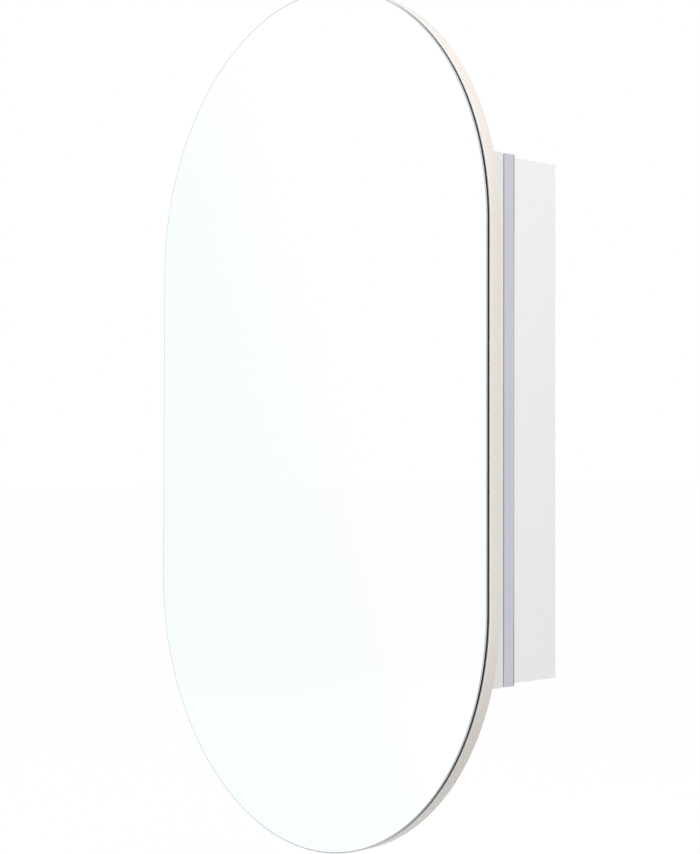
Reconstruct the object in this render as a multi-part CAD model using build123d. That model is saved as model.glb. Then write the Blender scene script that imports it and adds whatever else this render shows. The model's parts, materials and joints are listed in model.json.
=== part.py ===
"""Wall-hung shaving cabinet with a pill-shaped mirror door.

Millimetres. X runs to the right, Y runs back to the wall and Z runs up.
The origin is the centre of the cabinet's back face, on the wall.
"""

from build123d import *
import math
import os

# Mirror door, from the front to the back
MIRROR_WIDTH = 600
MIRROR_HEIGHT = 1000
MIRROR_RISE = 3
MIRROR_THICKNESS = 4
MIRROR_ARRIS = 0.6
TAPE_THICKNESS = 1
TAPE_WIDTH = 25
TAPE_INSET = 80
TAPE_STRIPS = 5
TAPE_MARGIN = 20
BOARD_THICKNESS = 15
BAND_THICKNESS = 1
CARRIER_THICKNESS = 18
SIDE_OVERHANG = 14
END_OVERHANG = 220

# Front trim, an angle section round the front of the box
TRIM_LIP = 2.5
TRIM_FLANGE = 2
TRIM_DEPTH = 16
TRIM_FRONT_CHAMFER = 0.8
TRIM_REAR_CHAMFER = 1.6

# Box
CARCASS_DEPTH = 79
PANEL_THICKNESS = 18
BACK_THICKNESS = 6
REBATE_WIDTH = 8
RAIL_HEIGHT = 60
RAIL_THICKNESS = 18
WALL_HOLE_RADIUS = 3
WALL_HOLE_SPACING = 400

# Shelves and their pins
SHELF_THICKNESS = 6
SHELF_ARRIS = 0.5
SHELF_SIDE_GAP = 2
SHELF_BACK_GAP = 2
SHELF_FRONT_GAP = 6
PIN_RADIUS = 2.5
PIN_STUB = 9
PIN_HOLE_SPARE = 1
PIN_COLLAR_RADIUS = 4.5
PIN_COLLAR_THICKNESS = 1.5
PIN_PADDLE_LENGTH = 9
PIN_PADDLE_WIDTH = 8
PIN_PADDLE_THICKNESS = 3.5
PIN_PITCH = 32
PIN_STEPS = 5
SHELF_STEP = 3
PIN_ROW_FRONT = 28
PIN_ROW_REAR = 22

# Corner fittings: a cam with its bolt, and a dowel, at each corner of the box
CAM_RADIUS = 7.5
CAM_DEPTH = 12.5
CAM_SETBACK = 24
CAM_FROM_FRONT = 22
CAM_COVER_RADIUS = 9
CAM_COVER_THICKNESS = 1
CAM_SLOT_WIDTH = 1.6
CAM_SLOT_DEPTH = 2
BOLT_RADIUS = 3
BOLT_IN_SIDE = 11
BOLT_IN_CAM = 3
DOWEL_RADIUS = 4
DOWEL_IN_SIDE = 12
DOWEL_IN_PANEL = 18
DOWEL_FROM_WALL = 26
RAIL_DOWEL_RADIUS = 3
RAIL_DOWEL_IN_SIDE = 10
RAIL_DOWEL_IN_RAIL = 14
RAIL_DOWEL_SPACING = 36

# Butt hinges on the left
HINGE_COUNT = 3
HINGE_FROM_END = 60
HINGE_HEIGHT = 60
KNUCKLES = 5
KNUCKLE_GAP = 0.3
LEAF_THICKNESS = 0.8
LEAF_WIDTH = 18
LEAF_GAP = 0.4
LEAF_CORNER = 3
EDGE_GAP = 0.5
HINGE_PIN_RADIUS = 1.5
RUNNING_CLEARANCE = 0.05
HINGE_PIN_HEAD = 1.2
HINGE_SCREWS = 3
HINGE_SCREW_SPACING = 20

# Magnetic catch on the right
CATCH_WIDTH = 14
CATCH_DEPTH = 20
CATCH_HEIGHT = 40
CATCH_EAR_HEIGHT = 60
CATCH_EAR_THICKNESS = 3
CATCH_CORNER = 1.2
CATCH_SCREW_SPACING = 50
MAGNET_WIDTH = 6
MAGNET_DEPTH = 14
MAGNET_HEIGHT = 28
STRIKE_WIDTH = 12
STRIKE_HEIGHT = 36
STRIKE_THICKNESS = 1
STRIKE_CORNER = 2
STRIKE_SCREW_SPACING = 24
CATCH_GAP = 0.4
BUMPER_RADIUS = 4
BUMPER_GAP = 0.4
BUMPER_ROUND = 0.8
BUMPER_FROM_END = 30

# Countersunk screws: length, head radius and shank radius
LEAF_SCREW_LENGTH = 14
FRAME_SCREW_LENGTH = 22
HINGE_SCREW_HEAD = 3
HINGE_SCREW_SHANK = 1.5
CARRIER_SCREW_BITE = 9
CARRIER_SCREW_HEAD = 3.5
CARRIER_SCREW_SHANK = 1.75
CARRIER_SCREW_INSET = 55
BACK_SCREW_BITE = 12
BACK_SCREW_HEAD = 2.6
BACK_SCREW_SHANK = 1.3
BACK_SCREW_COUNT = 4
CATCH_SCREW_LENGTH = 13
STRIKE_SCREW_LENGTH = 10
SMALL_SCREW_HEAD = 2.5
SMALL_SCREW_SHANK = 1.25
RECESS_DEPTH = 0.6
RECESS_WIDTH = 0.7

# Worked out from the sizes above
carrier_width = MIRROR_WIDTH - 2 * SIDE_OVERHANG
carrier_height = MIRROR_HEIGHT - 2 * END_OVERHANG
carcass_width = carrier_width - 2 * TRIM_LIP
carcass_height = carrier_height - 2 * TRIM_LIP
inner_width = carcass_width - 2 * PANEL_THICKNESS
inner_height = carcass_height - 2 * PANEL_THICKNESS
half_inner = inner_width / 2
half_inner_height = inner_height / 2

carcass_front = -CARCASS_DEPTH
trim_front = carcass_front - TRIM_FLANGE
door_gap = 2 * LEAF_THICKNESS + LEAF_GAP
carrier_back = trim_front - door_gap
carrier_front = carrier_back - CARRIER_THICKNESS
board_front = carrier_front - BOARD_THICKNESS
mirror_back = board_front - TAPE_THICKNESS
mirror_front = mirror_back - MIRROR_THICKNESS
back_panel_front = -BACK_THICKNESS
rail_front = back_panel_front - RAIL_THICKNESS
rail_height = half_inner_height - RAIL_HEIGHT / 2

knuckle_radius = HINGE_PIN_RADIUS + RUNNING_CLEARANCE + LEAF_THICKNESS
hinge_x = -carrier_width / 2 - EDGE_GAP - knuckle_radius
hinge_y = (trim_front + carrier_back) / 2
leaf_start = hinge_x + knuckle_radius + EDGE_GAP
panel_centre = half_inner + PANEL_THICKNESS / 2
corner_height = half_inner_height + PANEL_THICKNESS / 2
strike_back = carrier_back + STRIKE_THICKNESS
catch_x = half_inner - CATCH_WIDTH / 2
hinge_spacing = (carrier_height - 2 * HINGE_FROM_END) / (HINGE_COUNT - 1)
tape_spacing = (MIRROR_WIDTH - 2 * TAPE_INSET) / (TAPE_STRIPS - 1)


def block(x_low, x_high, y_low, y_high, z_low, z_high):
    """Block between two corners."""
    centre = Pos((x_low + x_high) / 2, (y_low + y_high) / 2, (z_low + z_high) / 2)
    return centre * Box(x_high - x_low, y_high - y_low, z_high - z_low)


def rod(radius, start, end):
    """Round rod from one point to another."""
    axis = Vector(*end) - Vector(*start)
    return Plane(origin=start, z_dir=axis) * Cylinder(
        radius, axis.length, align=(Align.CENTER, Align.CENTER, Align.MIN)
    )


def pill(width, height, front, thickness):
    """Upright plate with round ends, from its front face back, centred on the mirror."""
    outline = Plane.XZ.offset(-(front + thickness)) * SlotOverall(height, width, rotation=90)
    return Pos(0, 0, MIRROR_RISE) * extrude(outline, amount=thickness)


def screw_blank(length, head, shank):
    """Countersunk screw without its recess, head up, with its top at zero."""
    neck = head - shank
    tip = 2 * shank
    outline = Polyline(
        (0, 0), (head, 0), (shank, -neck), (shank, tip - length), (0, -length), close=True
    )
    return revolve(Plane.XZ * make_face(outline), axis=Axis.Z)


def cross_recess(head):
    """Cross that the driver fits, cut in a screw's head."""
    arm = Box(2 * head - 4 * RECESS_WIDTH, RECESS_WIDTH, 2 * RECESS_DEPTH)
    return arm + Rot(0, 0, 90) * arm


def screws_at(places, direction, length, head, shank):
    """Screws with their heads at some places, all pointing the same way.

    Returns the blanks, which cut the holes, and the screws.
    """
    blanks = []
    screws = []
    for place in places:
        seat = Plane(origin=place, z_dir=-Vector(*direction))
        blanks.append(seat * screw_blank(length, head, shank))
        screws.append(seat * (screw_blank(length, head, shank) - cross_recess(head)))
    return blanks, screws


def group(solids):
    """Several separate solids as one node."""
    return Compound(children=[solid.solid() for solid in solids])


def spread(count, spacing):
    """Places about zero, a steady spacing apart."""
    return [(index - (count - 1) / 2) * spacing for index in range(count)]


# Door: the mirror, its bonding tape, the pill board and its edge band


def mirror_glass():
    """Mirror with a small arris round both faces."""
    plate = pill(MIRROR_WIDTH, MIRROR_HEIGHT, mirror_front, MIRROR_THICKNESS)
    rims = plate.faces().sort_by(Axis.Y)[0].edges() + plate.faces().sort_by(Axis.Y)[-1].edges()
    return chamfer(rims, MIRROR_ARRIS)


def mirror_tape():
    """Upright strips of bonding tape between the mirror and the board."""
    end_radius = MIRROR_WIDTH / 2
    strips = []
    for x in spread(TAPE_STRIPS, tape_spacing):
        outer_edge = abs(x) + TAPE_WIDTH / 2
        rise = math.sqrt(max(end_radius**2 - outer_edge**2, 0))
        reach = MIRROR_HEIGHT / 2 - end_radius + rise - TAPE_MARGIN
        low, high = MIRROR_RISE - reach, MIRROR_RISE + reach
        strips.append(
            block(x - TAPE_WIDTH / 2, x + TAPE_WIDTH / 2, mirror_back, board_front, low, high)
        )
    return group(strips)


def board_core():
    """Board inside its edge band."""
    width = MIRROR_WIDTH - 2 * BAND_THICKNESS
    height = MIRROR_HEIGHT - 2 * BAND_THICKNESS
    return pill(width, height, board_front, BOARD_THICKNESS)


def door_board(blanks):
    """Pill-shaped board that the mirror is bonded to."""
    return board_core() - blanks


def door_edge_band():
    """Thin band round the board's edge, flush with the mirror's."""
    return pill(MIRROR_WIDTH, MIRROR_HEIGHT, board_front, BOARD_THICKNESS) - board_core()


def carrier_panel(blanks):
    """Rectangular panel on the board's back that carries the hinges."""
    half_width = carrier_width / 2
    half_height = carrier_height / 2
    panel = block(-half_width, half_width, carrier_front, carrier_back, -half_height, half_height)
    return panel - blanks


def carrier_screws():
    """Screws through the carrier panel into the board: blanks and screws."""
    across = carrier_width / 2 - CARRIER_SCREW_INSET
    up = carrier_height / 2 - CARRIER_SCREW_INSET
    places = [
        (x, carrier_back, z)
        for x in (-across, 0, across)
        for z in (-up, 0, up)
        if (x, z) != (0, 0)
    ]
    length = CARRIER_THICKNESS + CARRIER_SCREW_BITE
    return screws_at(places, (0, -1, 0), length, CARRIER_SCREW_HEAD, CARRIER_SCREW_SHANK)


# Hinges: two leaves and a pin each


def knuckle_spans(height):
    """Lower and upper end of each knuckle of a hinge at some height."""
    pitch = HINGE_HEIGHT / KNUCKLES
    base = height - HINGE_HEIGHT / 2
    return [
        (base + index * pitch + KNUCKLE_GAP / 2, base + (index + 1) * pitch - KNUCKLE_GAP / 2)
        for index in range(KNUCKLES)
    ]


def hinge_leaf(height, first_knuckle, y_low):
    """One leaf: a flat plate with every second knuckle, bored for the pin."""
    y_high = y_low + LEAF_THICKNESS
    low = height - HINGE_HEIGHT / 2
    high = height + HINGE_HEIGHT / 2
    plate = block(leaf_start, leaf_start + LEAF_WIDTH, y_low, y_high, low, high)
    far_corners = plate.edges().filter_by(Axis.Y).group_by(Axis.X)[-1]
    leaf = fillet(far_corners, LEAF_CORNER)
    for bottom, top in knuckle_spans(height)[first_knuckle::2]:
        leaf += rod(knuckle_radius, (hinge_x, hinge_y, bottom), (hinge_x, hinge_y, top))
        leaf += block(hinge_x, leaf_start, y_low, y_high, bottom, top)
    bore = rod(
        HINGE_PIN_RADIUS + RUNNING_CLEARANCE, (hinge_x, hinge_y, low), (hinge_x, hinge_y, high)
    )
    return leaf - bore


def hinge_pin(height):
    """Hinge pin with a flat head at each end."""
    spans = knuckle_spans(height)
    low = spans[0][0]
    high = spans[-1][1]
    pin = rod(HINGE_PIN_RADIUS, (hinge_x, hinge_y, low), (hinge_x, hinge_y, high))
    pin += rod(knuckle_radius, (hinge_x, hinge_y, high), (hinge_x, hinge_y, high + HINGE_PIN_HEAD))
    pin += rod(knuckle_radius, (hinge_x, hinge_y, low - HINGE_PIN_HEAD), (hinge_x, hinge_y, low))
    return pin


def hinge_screws(face, direction, length):
    """Screws of all the hinges in one face: blanks and screws."""
    places = [
        (-panel_centre, face, height + offset)
        for height in spread(HINGE_COUNT, hinge_spacing)
        for offset in spread(HINGE_SCREWS, HINGE_SCREW_SPACING)
    ]
    return screws_at(places, direction, length, HINGE_SCREW_HEAD, HINGE_SCREW_SHANK)


# Box: side, top, bottom and back panels and the hanging rails


def corner_fittings():
    """Cams, their bolts, covers and the dowels of the four corners."""
    cam_y = carcass_front + CAM_FROM_FRONT
    cams = []
    bolts = []
    covers = []
    dowels = []
    for side in (-1, 1):
        for level in (-1, 1):
            z = level * corner_height
            face = level * half_inner_height
            cam_x = side * (half_inner - CAM_SETBACK)
            cams.append(rod(CAM_RADIUS, (cam_x, cam_y, face), (cam_x, cam_y, face + level * CAM_DEPTH)))
            covers.append(
                rod(
                    CAM_COVER_RADIUS,
                    (cam_x, cam_y, face - level * CAM_COVER_THICKNESS),
                    (cam_x, cam_y, face),
                )
            )
            bolts.append(
                rod(
                    BOLT_RADIUS,
                    (cam_x + side * BOLT_IN_CAM, cam_y, z),
                    (side * (half_inner + BOLT_IN_SIDE), cam_y, z),
                )
            )
            dowels.append(
                rod(
                    DOWEL_RADIUS,
                    (side * (half_inner - DOWEL_IN_PANEL), -DOWEL_FROM_WALL, z),
                    (side * (half_inner + DOWEL_IN_SIDE), -DOWEL_FROM_WALL, z),
                )
            )
    return cams, bolts, covers, dowels


def slotted_cams(cams, bolts):
    """Cams with the driver's slot and the bore that takes the bolt's end."""
    finished = []
    for cam, bolt in zip(cams, bolts):
        centre = cam.center()
        level = math.copysign(1, centre.Z)
        face = level * half_inner_height
        slot = block(
            centre.X - CAM_RADIUS,
            centre.X + CAM_RADIUS,
            centre.Y - CAM_SLOT_WIDTH / 2,
            centre.Y + CAM_SLOT_WIDTH / 2,
            min(face, face + level * CAM_SLOT_DEPTH),
            max(face, face + level * CAM_SLOT_DEPTH),
        )
        finished.append(cam - bolt - slot)
    return finished


def rail_dowels():
    """Dowels at the ends of both hanging rails."""
    y = (back_panel_front + rail_front) / 2
    return [
        rod(
            RAIL_DOWEL_RADIUS,
            (side * (half_inner - RAIL_DOWEL_IN_RAIL), y, level * rail_height + offset),
            (side * (half_inner + RAIL_DOWEL_IN_SIDE), y, level * rail_height + offset),
        )
        for side in (-1, 1)
        for level in (-1, 1)
        for offset in spread(2, RAIL_DOWEL_SPACING)
    ]


def shelf_pin_holes(side):
    """Rows of blind holes in the inner face of one side panel."""
    mouth = side * half_inner
    bottom = side * (half_inner + PIN_STUB + PIN_HOLE_SPARE)
    return [
        rod(PIN_RADIUS, (mouth, y, step * PIN_PITCH), (bottom, y, step * PIN_PITCH))
        for y in (carcass_front + PIN_ROW_FRONT, -PIN_ROW_REAR)
        for step in range(-PIN_STEPS, PIN_STEPS + 1)
    ]


def back_rebate():
    """Space that the back panel fills in the rear edges of the box."""
    half_width = half_inner + REBATE_WIDTH
    half_height = half_inner_height + REBATE_WIDTH
    return block(-half_width, half_width, back_panel_front, 0, -half_height, half_height)


def side_panel(side, cuts):
    """Side panel of the box, with the rebate, fitting holes and pin holes."""
    inside = side * half_inner
    outside = side * carcass_width / 2
    half_height = carcass_height / 2
    panel = block(
        min(inside, outside), max(inside, outside), carcass_front, 0, -half_height, half_height
    )
    return panel - back_rebate() - shelf_pin_holes(side) - cuts


def end_panel(level, cuts):
    """Top or bottom panel of the box, between the sides."""
    inside = level * half_inner_height
    outside = level * carcass_height / 2
    panel = block(
        -half_inner, half_inner, carcass_front, 0, min(inside, outside), max(inside, outside)
    )
    return panel - back_rebate() - cuts


def wall_holes():
    """Clearance holes for the four wall screws, through rails and back."""
    return [
        rod(WALL_HOLE_RADIUS, (x, rail_front, z), (x, 0, z))
        for x in spread(2, WALL_HOLE_SPACING)
        for z in (-rail_height, rail_height)
    ]


def back_panel(cuts):
    """Thin back panel, flush with the rear of the box."""
    return back_rebate() - wall_holes() - cuts


def back_screws():
    """Screws round the back panel: blanks and screws."""
    edge_x = half_inner + REBATE_WIDTH / 2
    edge_z = half_inner_height + REBATE_WIDTH / 2
    along_x = spread(BACK_SCREW_COUNT, inner_width / BACK_SCREW_COUNT)
    along_z = spread(BACK_SCREW_COUNT, inner_height / BACK_SCREW_COUNT)
    places = [(x, 0, side * edge_z) for side in (-1, 1) for x in along_x]
    places += [(side * edge_x, 0, z) for side in (-1, 1) for z in along_z]
    length = BACK_THICKNESS + BACK_SCREW_BITE
    return screws_at(places, (0, -1, 0), length, BACK_SCREW_HEAD, BACK_SCREW_SHANK)


def hanging_rail(level, dowels):
    """Rail across the inside that the wall screws pull against."""
    centre = level * rail_height
    rail = block(
        -half_inner,
        half_inner,
        rail_front,
        back_panel_front,
        centre - RAIL_HEIGHT / 2,
        centre + RAIL_HEIGHT / 2,
    )
    return rail - wall_holes() - dowels


# Front trim: four mitred lengths of one angle section


def trim_length(face, half_length):
    """One mitred length, its section drawn outward from a box face."""
    outer = face + TRIM_LIP
    inner = face - PANEL_THICKNESS
    rear = trim_front + TRIM_DEPTH
    section = Polyline(
        (inner, trim_front),
        (outer - TRIM_FRONT_CHAMFER, trim_front),
        (outer, trim_front + TRIM_FRONT_CHAMFER),
        (outer, rear - TRIM_REAR_CHAMFER),
        (outer - TRIM_REAR_CHAMFER, rear),
        (face, rear),
        (face, carcass_front),
        (inner, carcass_front),
        close=True,
    )
    bar = extrude(make_face(section), amount=half_length, both=True)
    mitres = Polyline(
        (outer, -half_length),
        (outer, half_length),
        (inner, half_length - (outer - inner)),
        (inner, (outer - inner) - half_length),
        close=True,
    )
    return bar & extrude(Plane.XZ * make_face(mitres), amount=CARCASS_DEPTH + TRIM_FLANGE)


def front_trim(name, cuts):
    """Trim along one side of the box's front."""
    if name in ("left", "right"):
        bar = trim_length(carcass_width / 2, carrier_height / 2)
        turn = {"right": 0, "left": 180}[name]
    else:
        bar = trim_length(carcass_height / 2, carrier_width / 2)
        turn = {"top": -90, "bottom": 90}[name]
    return Rot(0, turn, 0) * bar - cuts


# Glass shelves and the pins under them


def glass_shelf(level):
    """Glass shelf resting on the pins of one row of holes."""
    bottom = level * SHELF_STEP * PIN_PITCH + PIN_RADIUS
    shelf = block(
        SHELF_SIDE_GAP - half_inner,
        half_inner - SHELF_SIDE_GAP,
        carcass_front + SHELF_FRONT_GAP,
        back_panel_front - SHELF_BACK_GAP,
        bottom,
        bottom + SHELF_THICKNESS,
    )
    return chamfer(shelf.edges(), SHELF_ARRIS)


def shelf_pin(side, y, z):
    """Shelf pin: stub in the hole, collar on the panel, paddle under glass."""
    wall = side * half_inner
    collar_face = side * (half_inner - PIN_COLLAR_THICKNESS)
    paddle_end = side * (half_inner - PIN_PADDLE_LENGTH)
    pin = rod(PIN_RADIUS, (side * (half_inner + PIN_STUB), y, z), (collar_face, y, z))
    collar = rod(PIN_COLLAR_RADIUS, (wall, y, z), (collar_face, y, z))
    collar &= block(
        -half_inner,
        half_inner,
        y - PIN_COLLAR_RADIUS,
        y + PIN_COLLAR_RADIUS,
        z - PIN_COLLAR_RADIUS,
        z + PIN_RADIUS,
    )
    paddle = block(
        min(wall, paddle_end),
        max(wall, paddle_end),
        y - PIN_PADDLE_WIDTH / 2,
        y + PIN_PADDLE_WIDTH / 2,
        z + PIN_RADIUS - PIN_PADDLE_THICKNESS,
        z + PIN_RADIUS,
    )
    return pin + collar + paddle


def shelf_pins(level):
    """The four pins under one shelf."""
    z = level * SHELF_STEP * PIN_PITCH
    rows = (carcass_front + PIN_ROW_FRONT, -PIN_ROW_REAR)
    return group([shelf_pin(side, y, z) for side in (-1, 1) for y in rows])


# Magnetic catch, its strike plate and the door bumpers


def catch_housing(cuts):
    """Catch housing on the right side panel, with two screw ears."""
    core = block(
        half_inner - CATCH_WIDTH,
        half_inner,
        trim_front,
        trim_front + CATCH_DEPTH,
        -CATCH_HEIGHT / 2,
        CATCH_HEIGHT / 2,
    )
    ears = block(
        half_inner - CATCH_EAR_THICKNESS,
        half_inner,
        carcass_front,
        trim_front + CATCH_DEPTH,
        -CATCH_EAR_HEIGHT / 2,
        CATCH_EAR_HEIGHT / 2,
    )
    outer_edges = core.edges().filter_by(Axis.Z).group_by(Axis.X)[0]
    core = fillet(outer_edges, CATCH_CORNER)
    return core + ears - catch_magnet() - cuts


def catch_magnet():
    """Magnet with its pole faces just short of the strike plate."""
    front = strike_back + CATCH_GAP
    return block(
        catch_x - MAGNET_WIDTH / 2,
        catch_x + MAGNET_WIDTH / 2,
        front,
        front + MAGNET_DEPTH,
        -MAGNET_HEIGHT / 2,
        MAGNET_HEIGHT / 2,
    )


def catch_screws():
    """Screws through the catch's ears: blanks and screws."""
    x = half_inner - CATCH_EAR_THICKNESS
    y = trim_front + CATCH_DEPTH / 2
    places = [(x, y, z) for z in spread(2, CATCH_SCREW_SPACING)]
    return screws_at(places, (1, 0, 0), CATCH_SCREW_LENGTH, SMALL_SCREW_HEAD, SMALL_SCREW_SHANK)


def strike_plate(cuts):
    """Steel plate on the carrier panel that the magnet holds."""
    plate = block(
        catch_x - STRIKE_WIDTH / 2,
        catch_x + STRIKE_WIDTH / 2,
        carrier_back,
        strike_back,
        -STRIKE_HEIGHT / 2,
        STRIKE_HEIGHT / 2,
    )
    return fillet(plate.edges().filter_by(Axis.Y), STRIKE_CORNER) - cuts


def strike_screws():
    """Screws of the strike plate: blanks and screws."""
    places = [(catch_x, strike_back, z) for z in spread(2, STRIKE_SCREW_SPACING)]
    return screws_at(places, (0, -1, 0), STRIKE_SCREW_LENGTH, SMALL_SCREW_HEAD, SMALL_SCREW_SHANK)


def door_bumpers():
    """Soft bumpers on the trim beside the catch, near its ends."""
    top = carrier_height / 2 - BUMPER_FROM_END
    thickness = door_gap - BUMPER_GAP
    bumpers = []
    for z in (-top, top):
        foot = (panel_centre, trim_front, z)
        dome = rod(BUMPER_RADIUS, foot, (panel_centre, trim_front - thickness, z))
        bumpers.append(fillet(dome.edges().group_by(Axis.Y)[0], BUMPER_ROUND))
    return group(bumpers)


carrier_blanks, carrier_fixings = carrier_screws()
door_leaf_face = hinge_y - LEAF_GAP / 2
frame_leaf_face = hinge_y + LEAF_GAP / 2
door_hinge_blanks, door_hinge_fixings = hinge_screws(door_leaf_face, (0, -1, 0), LEAF_SCREW_LENGTH)
frame_hinge_blanks, frame_hinge_fixings = hinge_screws(
    frame_leaf_face, (0, 1, 0), FRAME_SCREW_LENGTH
)
back_blanks, back_fixings = back_screws()
catch_blanks, catch_fixings = catch_screws()
strike_blanks, strike_fixings = strike_screws()
cams, bolts, covers, dowels = corner_fittings()
rail_pegs = rail_dowels()

parts = {
    "mirror_glass": mirror_glass(),
    "mirror_tape": mirror_tape(),
    "door_board": door_board(carrier_blanks),
    "door_edge_band": door_edge_band(),
    "carrier_panel": carrier_panel(carrier_blanks + door_hinge_blanks + strike_blanks),
    "carrier_screws": group(carrier_fixings),
    "hinge_screws_door": group(door_hinge_fixings),
    "hinge_screws_frame": group(frame_hinge_fixings),
    "strike_plate": strike_plate(strike_blanks),
    "strike_screws": group(strike_fixings),
    "side_panel_left": side_panel(-1, bolts + dowels + rail_pegs + back_blanks + frame_hinge_blanks),
    "side_panel_right": side_panel(1, bolts + dowels + rail_pegs + back_blanks + catch_blanks),
    "top_panel": end_panel(1, cams + bolts + dowels + back_blanks),
    "bottom_panel": end_panel(-1, cams + bolts + dowels + back_blanks),
    "back_panel": back_panel(back_blanks),
    "back_panel_screws": group(back_fixings),
    "hanging_rail_upper": hanging_rail(1, rail_pegs),
    "hanging_rail_lower": hanging_rail(-1, rail_pegs),
    "rail_dowels": group(rail_pegs),
    "corner_dowels": group(dowels),
    "cam_locks": group(slotted_cams(cams, bolts)),
    "cam_bolts": group(bolts),
    "cam_covers": group(covers),
    "glass_shelf_upper": glass_shelf(1),
    "glass_shelf_lower": glass_shelf(-1),
    "shelf_pins_upper": shelf_pins(1),
    "shelf_pins_lower": shelf_pins(-1),
    "catch_housing": catch_housing(catch_blanks),
    "catch_magnet": catch_magnet(),
    "catch_screws": group(catch_fixings),
    "door_bumpers": door_bumpers(),
}

for side in ("left", "right", "top", "bottom"):
    parts[f"front_trim_{side}"] = front_trim(side, frame_hinge_blanks)

for place, height in zip(("lower", "middle", "upper"), spread(HINGE_COUNT, hinge_spacing)):
    parts[f"hinge_leaf_door_{place}"] = (
        hinge_leaf(height, 1, door_leaf_face - LEAF_THICKNESS) - door_hinge_blanks
    )
    parts[f"hinge_leaf_frame_{place}"] = hinge_leaf(height, 0, frame_leaf_face) - frame_hinge_blanks
    parts[f"hinge_pin_{place}"] = hinge_pin(height)

os.makedirs("parts", exist_ok=True)
for node, shape in parts.items():
    export_step(shape, f"parts/{node}.step")
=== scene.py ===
"""Looks of the wall-hung shaving cabinet with a pill-shaped mirror door.

Metres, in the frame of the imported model: X to the right, Y back to the wall and Z up. The
origin is the centre of the cabinet's back face, on the wall.
"""

import json
import logging
import math
from collections.abc import Callable, Sequence
from dataclasses import dataclass, field
from enum import Enum, IntEnum

import bpy
from bpy.types import Material, MeshPolygon, Node, NodeSocket, NodeTree, Object
from mathutils import Matrix, Vector


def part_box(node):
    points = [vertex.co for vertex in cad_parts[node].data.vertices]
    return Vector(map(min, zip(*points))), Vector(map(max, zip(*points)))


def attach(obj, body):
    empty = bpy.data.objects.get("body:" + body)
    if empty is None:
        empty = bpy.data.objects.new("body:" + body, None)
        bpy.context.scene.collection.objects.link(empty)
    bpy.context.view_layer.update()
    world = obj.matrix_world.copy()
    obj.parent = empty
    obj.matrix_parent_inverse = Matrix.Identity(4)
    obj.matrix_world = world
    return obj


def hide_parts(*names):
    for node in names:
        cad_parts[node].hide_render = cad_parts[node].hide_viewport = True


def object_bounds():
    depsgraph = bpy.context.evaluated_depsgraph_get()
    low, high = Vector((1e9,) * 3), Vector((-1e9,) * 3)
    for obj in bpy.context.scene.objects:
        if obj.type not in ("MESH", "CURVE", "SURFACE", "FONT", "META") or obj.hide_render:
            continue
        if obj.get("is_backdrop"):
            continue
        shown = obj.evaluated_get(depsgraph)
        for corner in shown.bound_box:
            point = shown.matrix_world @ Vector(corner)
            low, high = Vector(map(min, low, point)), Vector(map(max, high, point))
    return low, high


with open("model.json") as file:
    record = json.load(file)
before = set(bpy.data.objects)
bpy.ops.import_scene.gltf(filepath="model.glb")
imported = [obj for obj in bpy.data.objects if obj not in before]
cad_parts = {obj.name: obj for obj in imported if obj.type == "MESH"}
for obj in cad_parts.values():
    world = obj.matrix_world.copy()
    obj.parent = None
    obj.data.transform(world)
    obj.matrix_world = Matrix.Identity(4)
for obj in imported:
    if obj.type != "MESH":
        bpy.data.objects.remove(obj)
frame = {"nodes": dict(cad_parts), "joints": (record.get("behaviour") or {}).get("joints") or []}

MM = 0.001
PHOTO_WIDTH, PHOTO_HEIGHT = 700, 854
LOG = logging.getLogger("shaving_cabinet")

X_AXIS, Y_AXIS, Z_AXIS = Vector((1, 0, 0)), Vector((0, 1, 0)), Vector((0, 0, 1))
# Least cosine at which a direction counts as roughly, squarely or exactly along an axis.
ROUGHLY, SQUARELY, EXACTLY = 0.9, 0.99, 0.999
# Metres within which two places are one, and at which doubles are merged.
TOUCH, MERGE, CAD_MERGE = 1e-5, 1e-7, 1e-6
# Span that most of a noise pattern's values lie in.
NOISE_SPAN = (0.3, 0.7)
# Sockets of a Mix node that mixes colours.
MIX_FIRST, MIX_SECOND, MIX_RESULT = 6, 7, 2

Colour = tuple[float, float, float, float]
Box = tuple[Vector, Vector]
Test = Callable[[Vector, Vector], bool]


class Body(Enum):
    """Bodies that the pieces ride on."""

    CABINET = "cabinet"
    DOOR = "door"


class Slot(Enum):
    """Material slots of the record."""

    MIRROR = "mirror"
    BOARD = "white_board"
    EDGE_BAND = "edge_band"
    TRIM = "front_trim"
    HINGE_STEEL = "hinge_steel"
    SCREW = "zinc_screw"
    WHITE_PLASTIC = "white_plastic"
    SHELF_GLASS = "shelf_glass"
    MAGNET = "magnet"
    BUMPER = "clear_bumper"


class Part(Enum):
    """Kinds of mesh element that a modelling move picks."""

    VERTEX = "VERT"
    EDGE = "EDGE"
    FACE = "FACE"


class Zone(IntEnum):
    """Zones of the mirror pane, numbered as its finishes are."""

    SILVER = 0
    EDGE = 1
    FRONT_ARRIS = 2
    REAR_ARRIS = 3
    BACKING = 4
    MARGIN = 5


# Finishes


def linear(hex_colour: str) -> Colour:
    """Turn an sRGB hex colour into the linear values that a shader takes.

    Args:
        hex_colour: Six hex digits after a hash.

    Returns:
        Linear red, green and blue, and an alpha of 1.
    """
    channels = []
    for start in (1, 3, 5):
        value = int(hex_colour[start : start + 2], 16) / 255
        channels.append(value / 12.92 if value <= 0.04045 else ((value + 0.055) / 1.055) ** 2.4)
    return (*channels, 1.0)


def shade(hex_colour: str, factor: float) -> Colour:
    """Lighten or darken a colour in linear light.

    Args:
        hex_colour: Six hex digits after a hash.
        factor: What the linear channels are multiplied by.

    Returns:
        The linear colour, held to at most 1 a channel.
    """
    red, green, blue, alpha = linear(hex_colour)
    return (min(red * factor, 1.0), min(green * factor, 1.0), min(blue * factor, 1.0), alpha)


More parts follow.
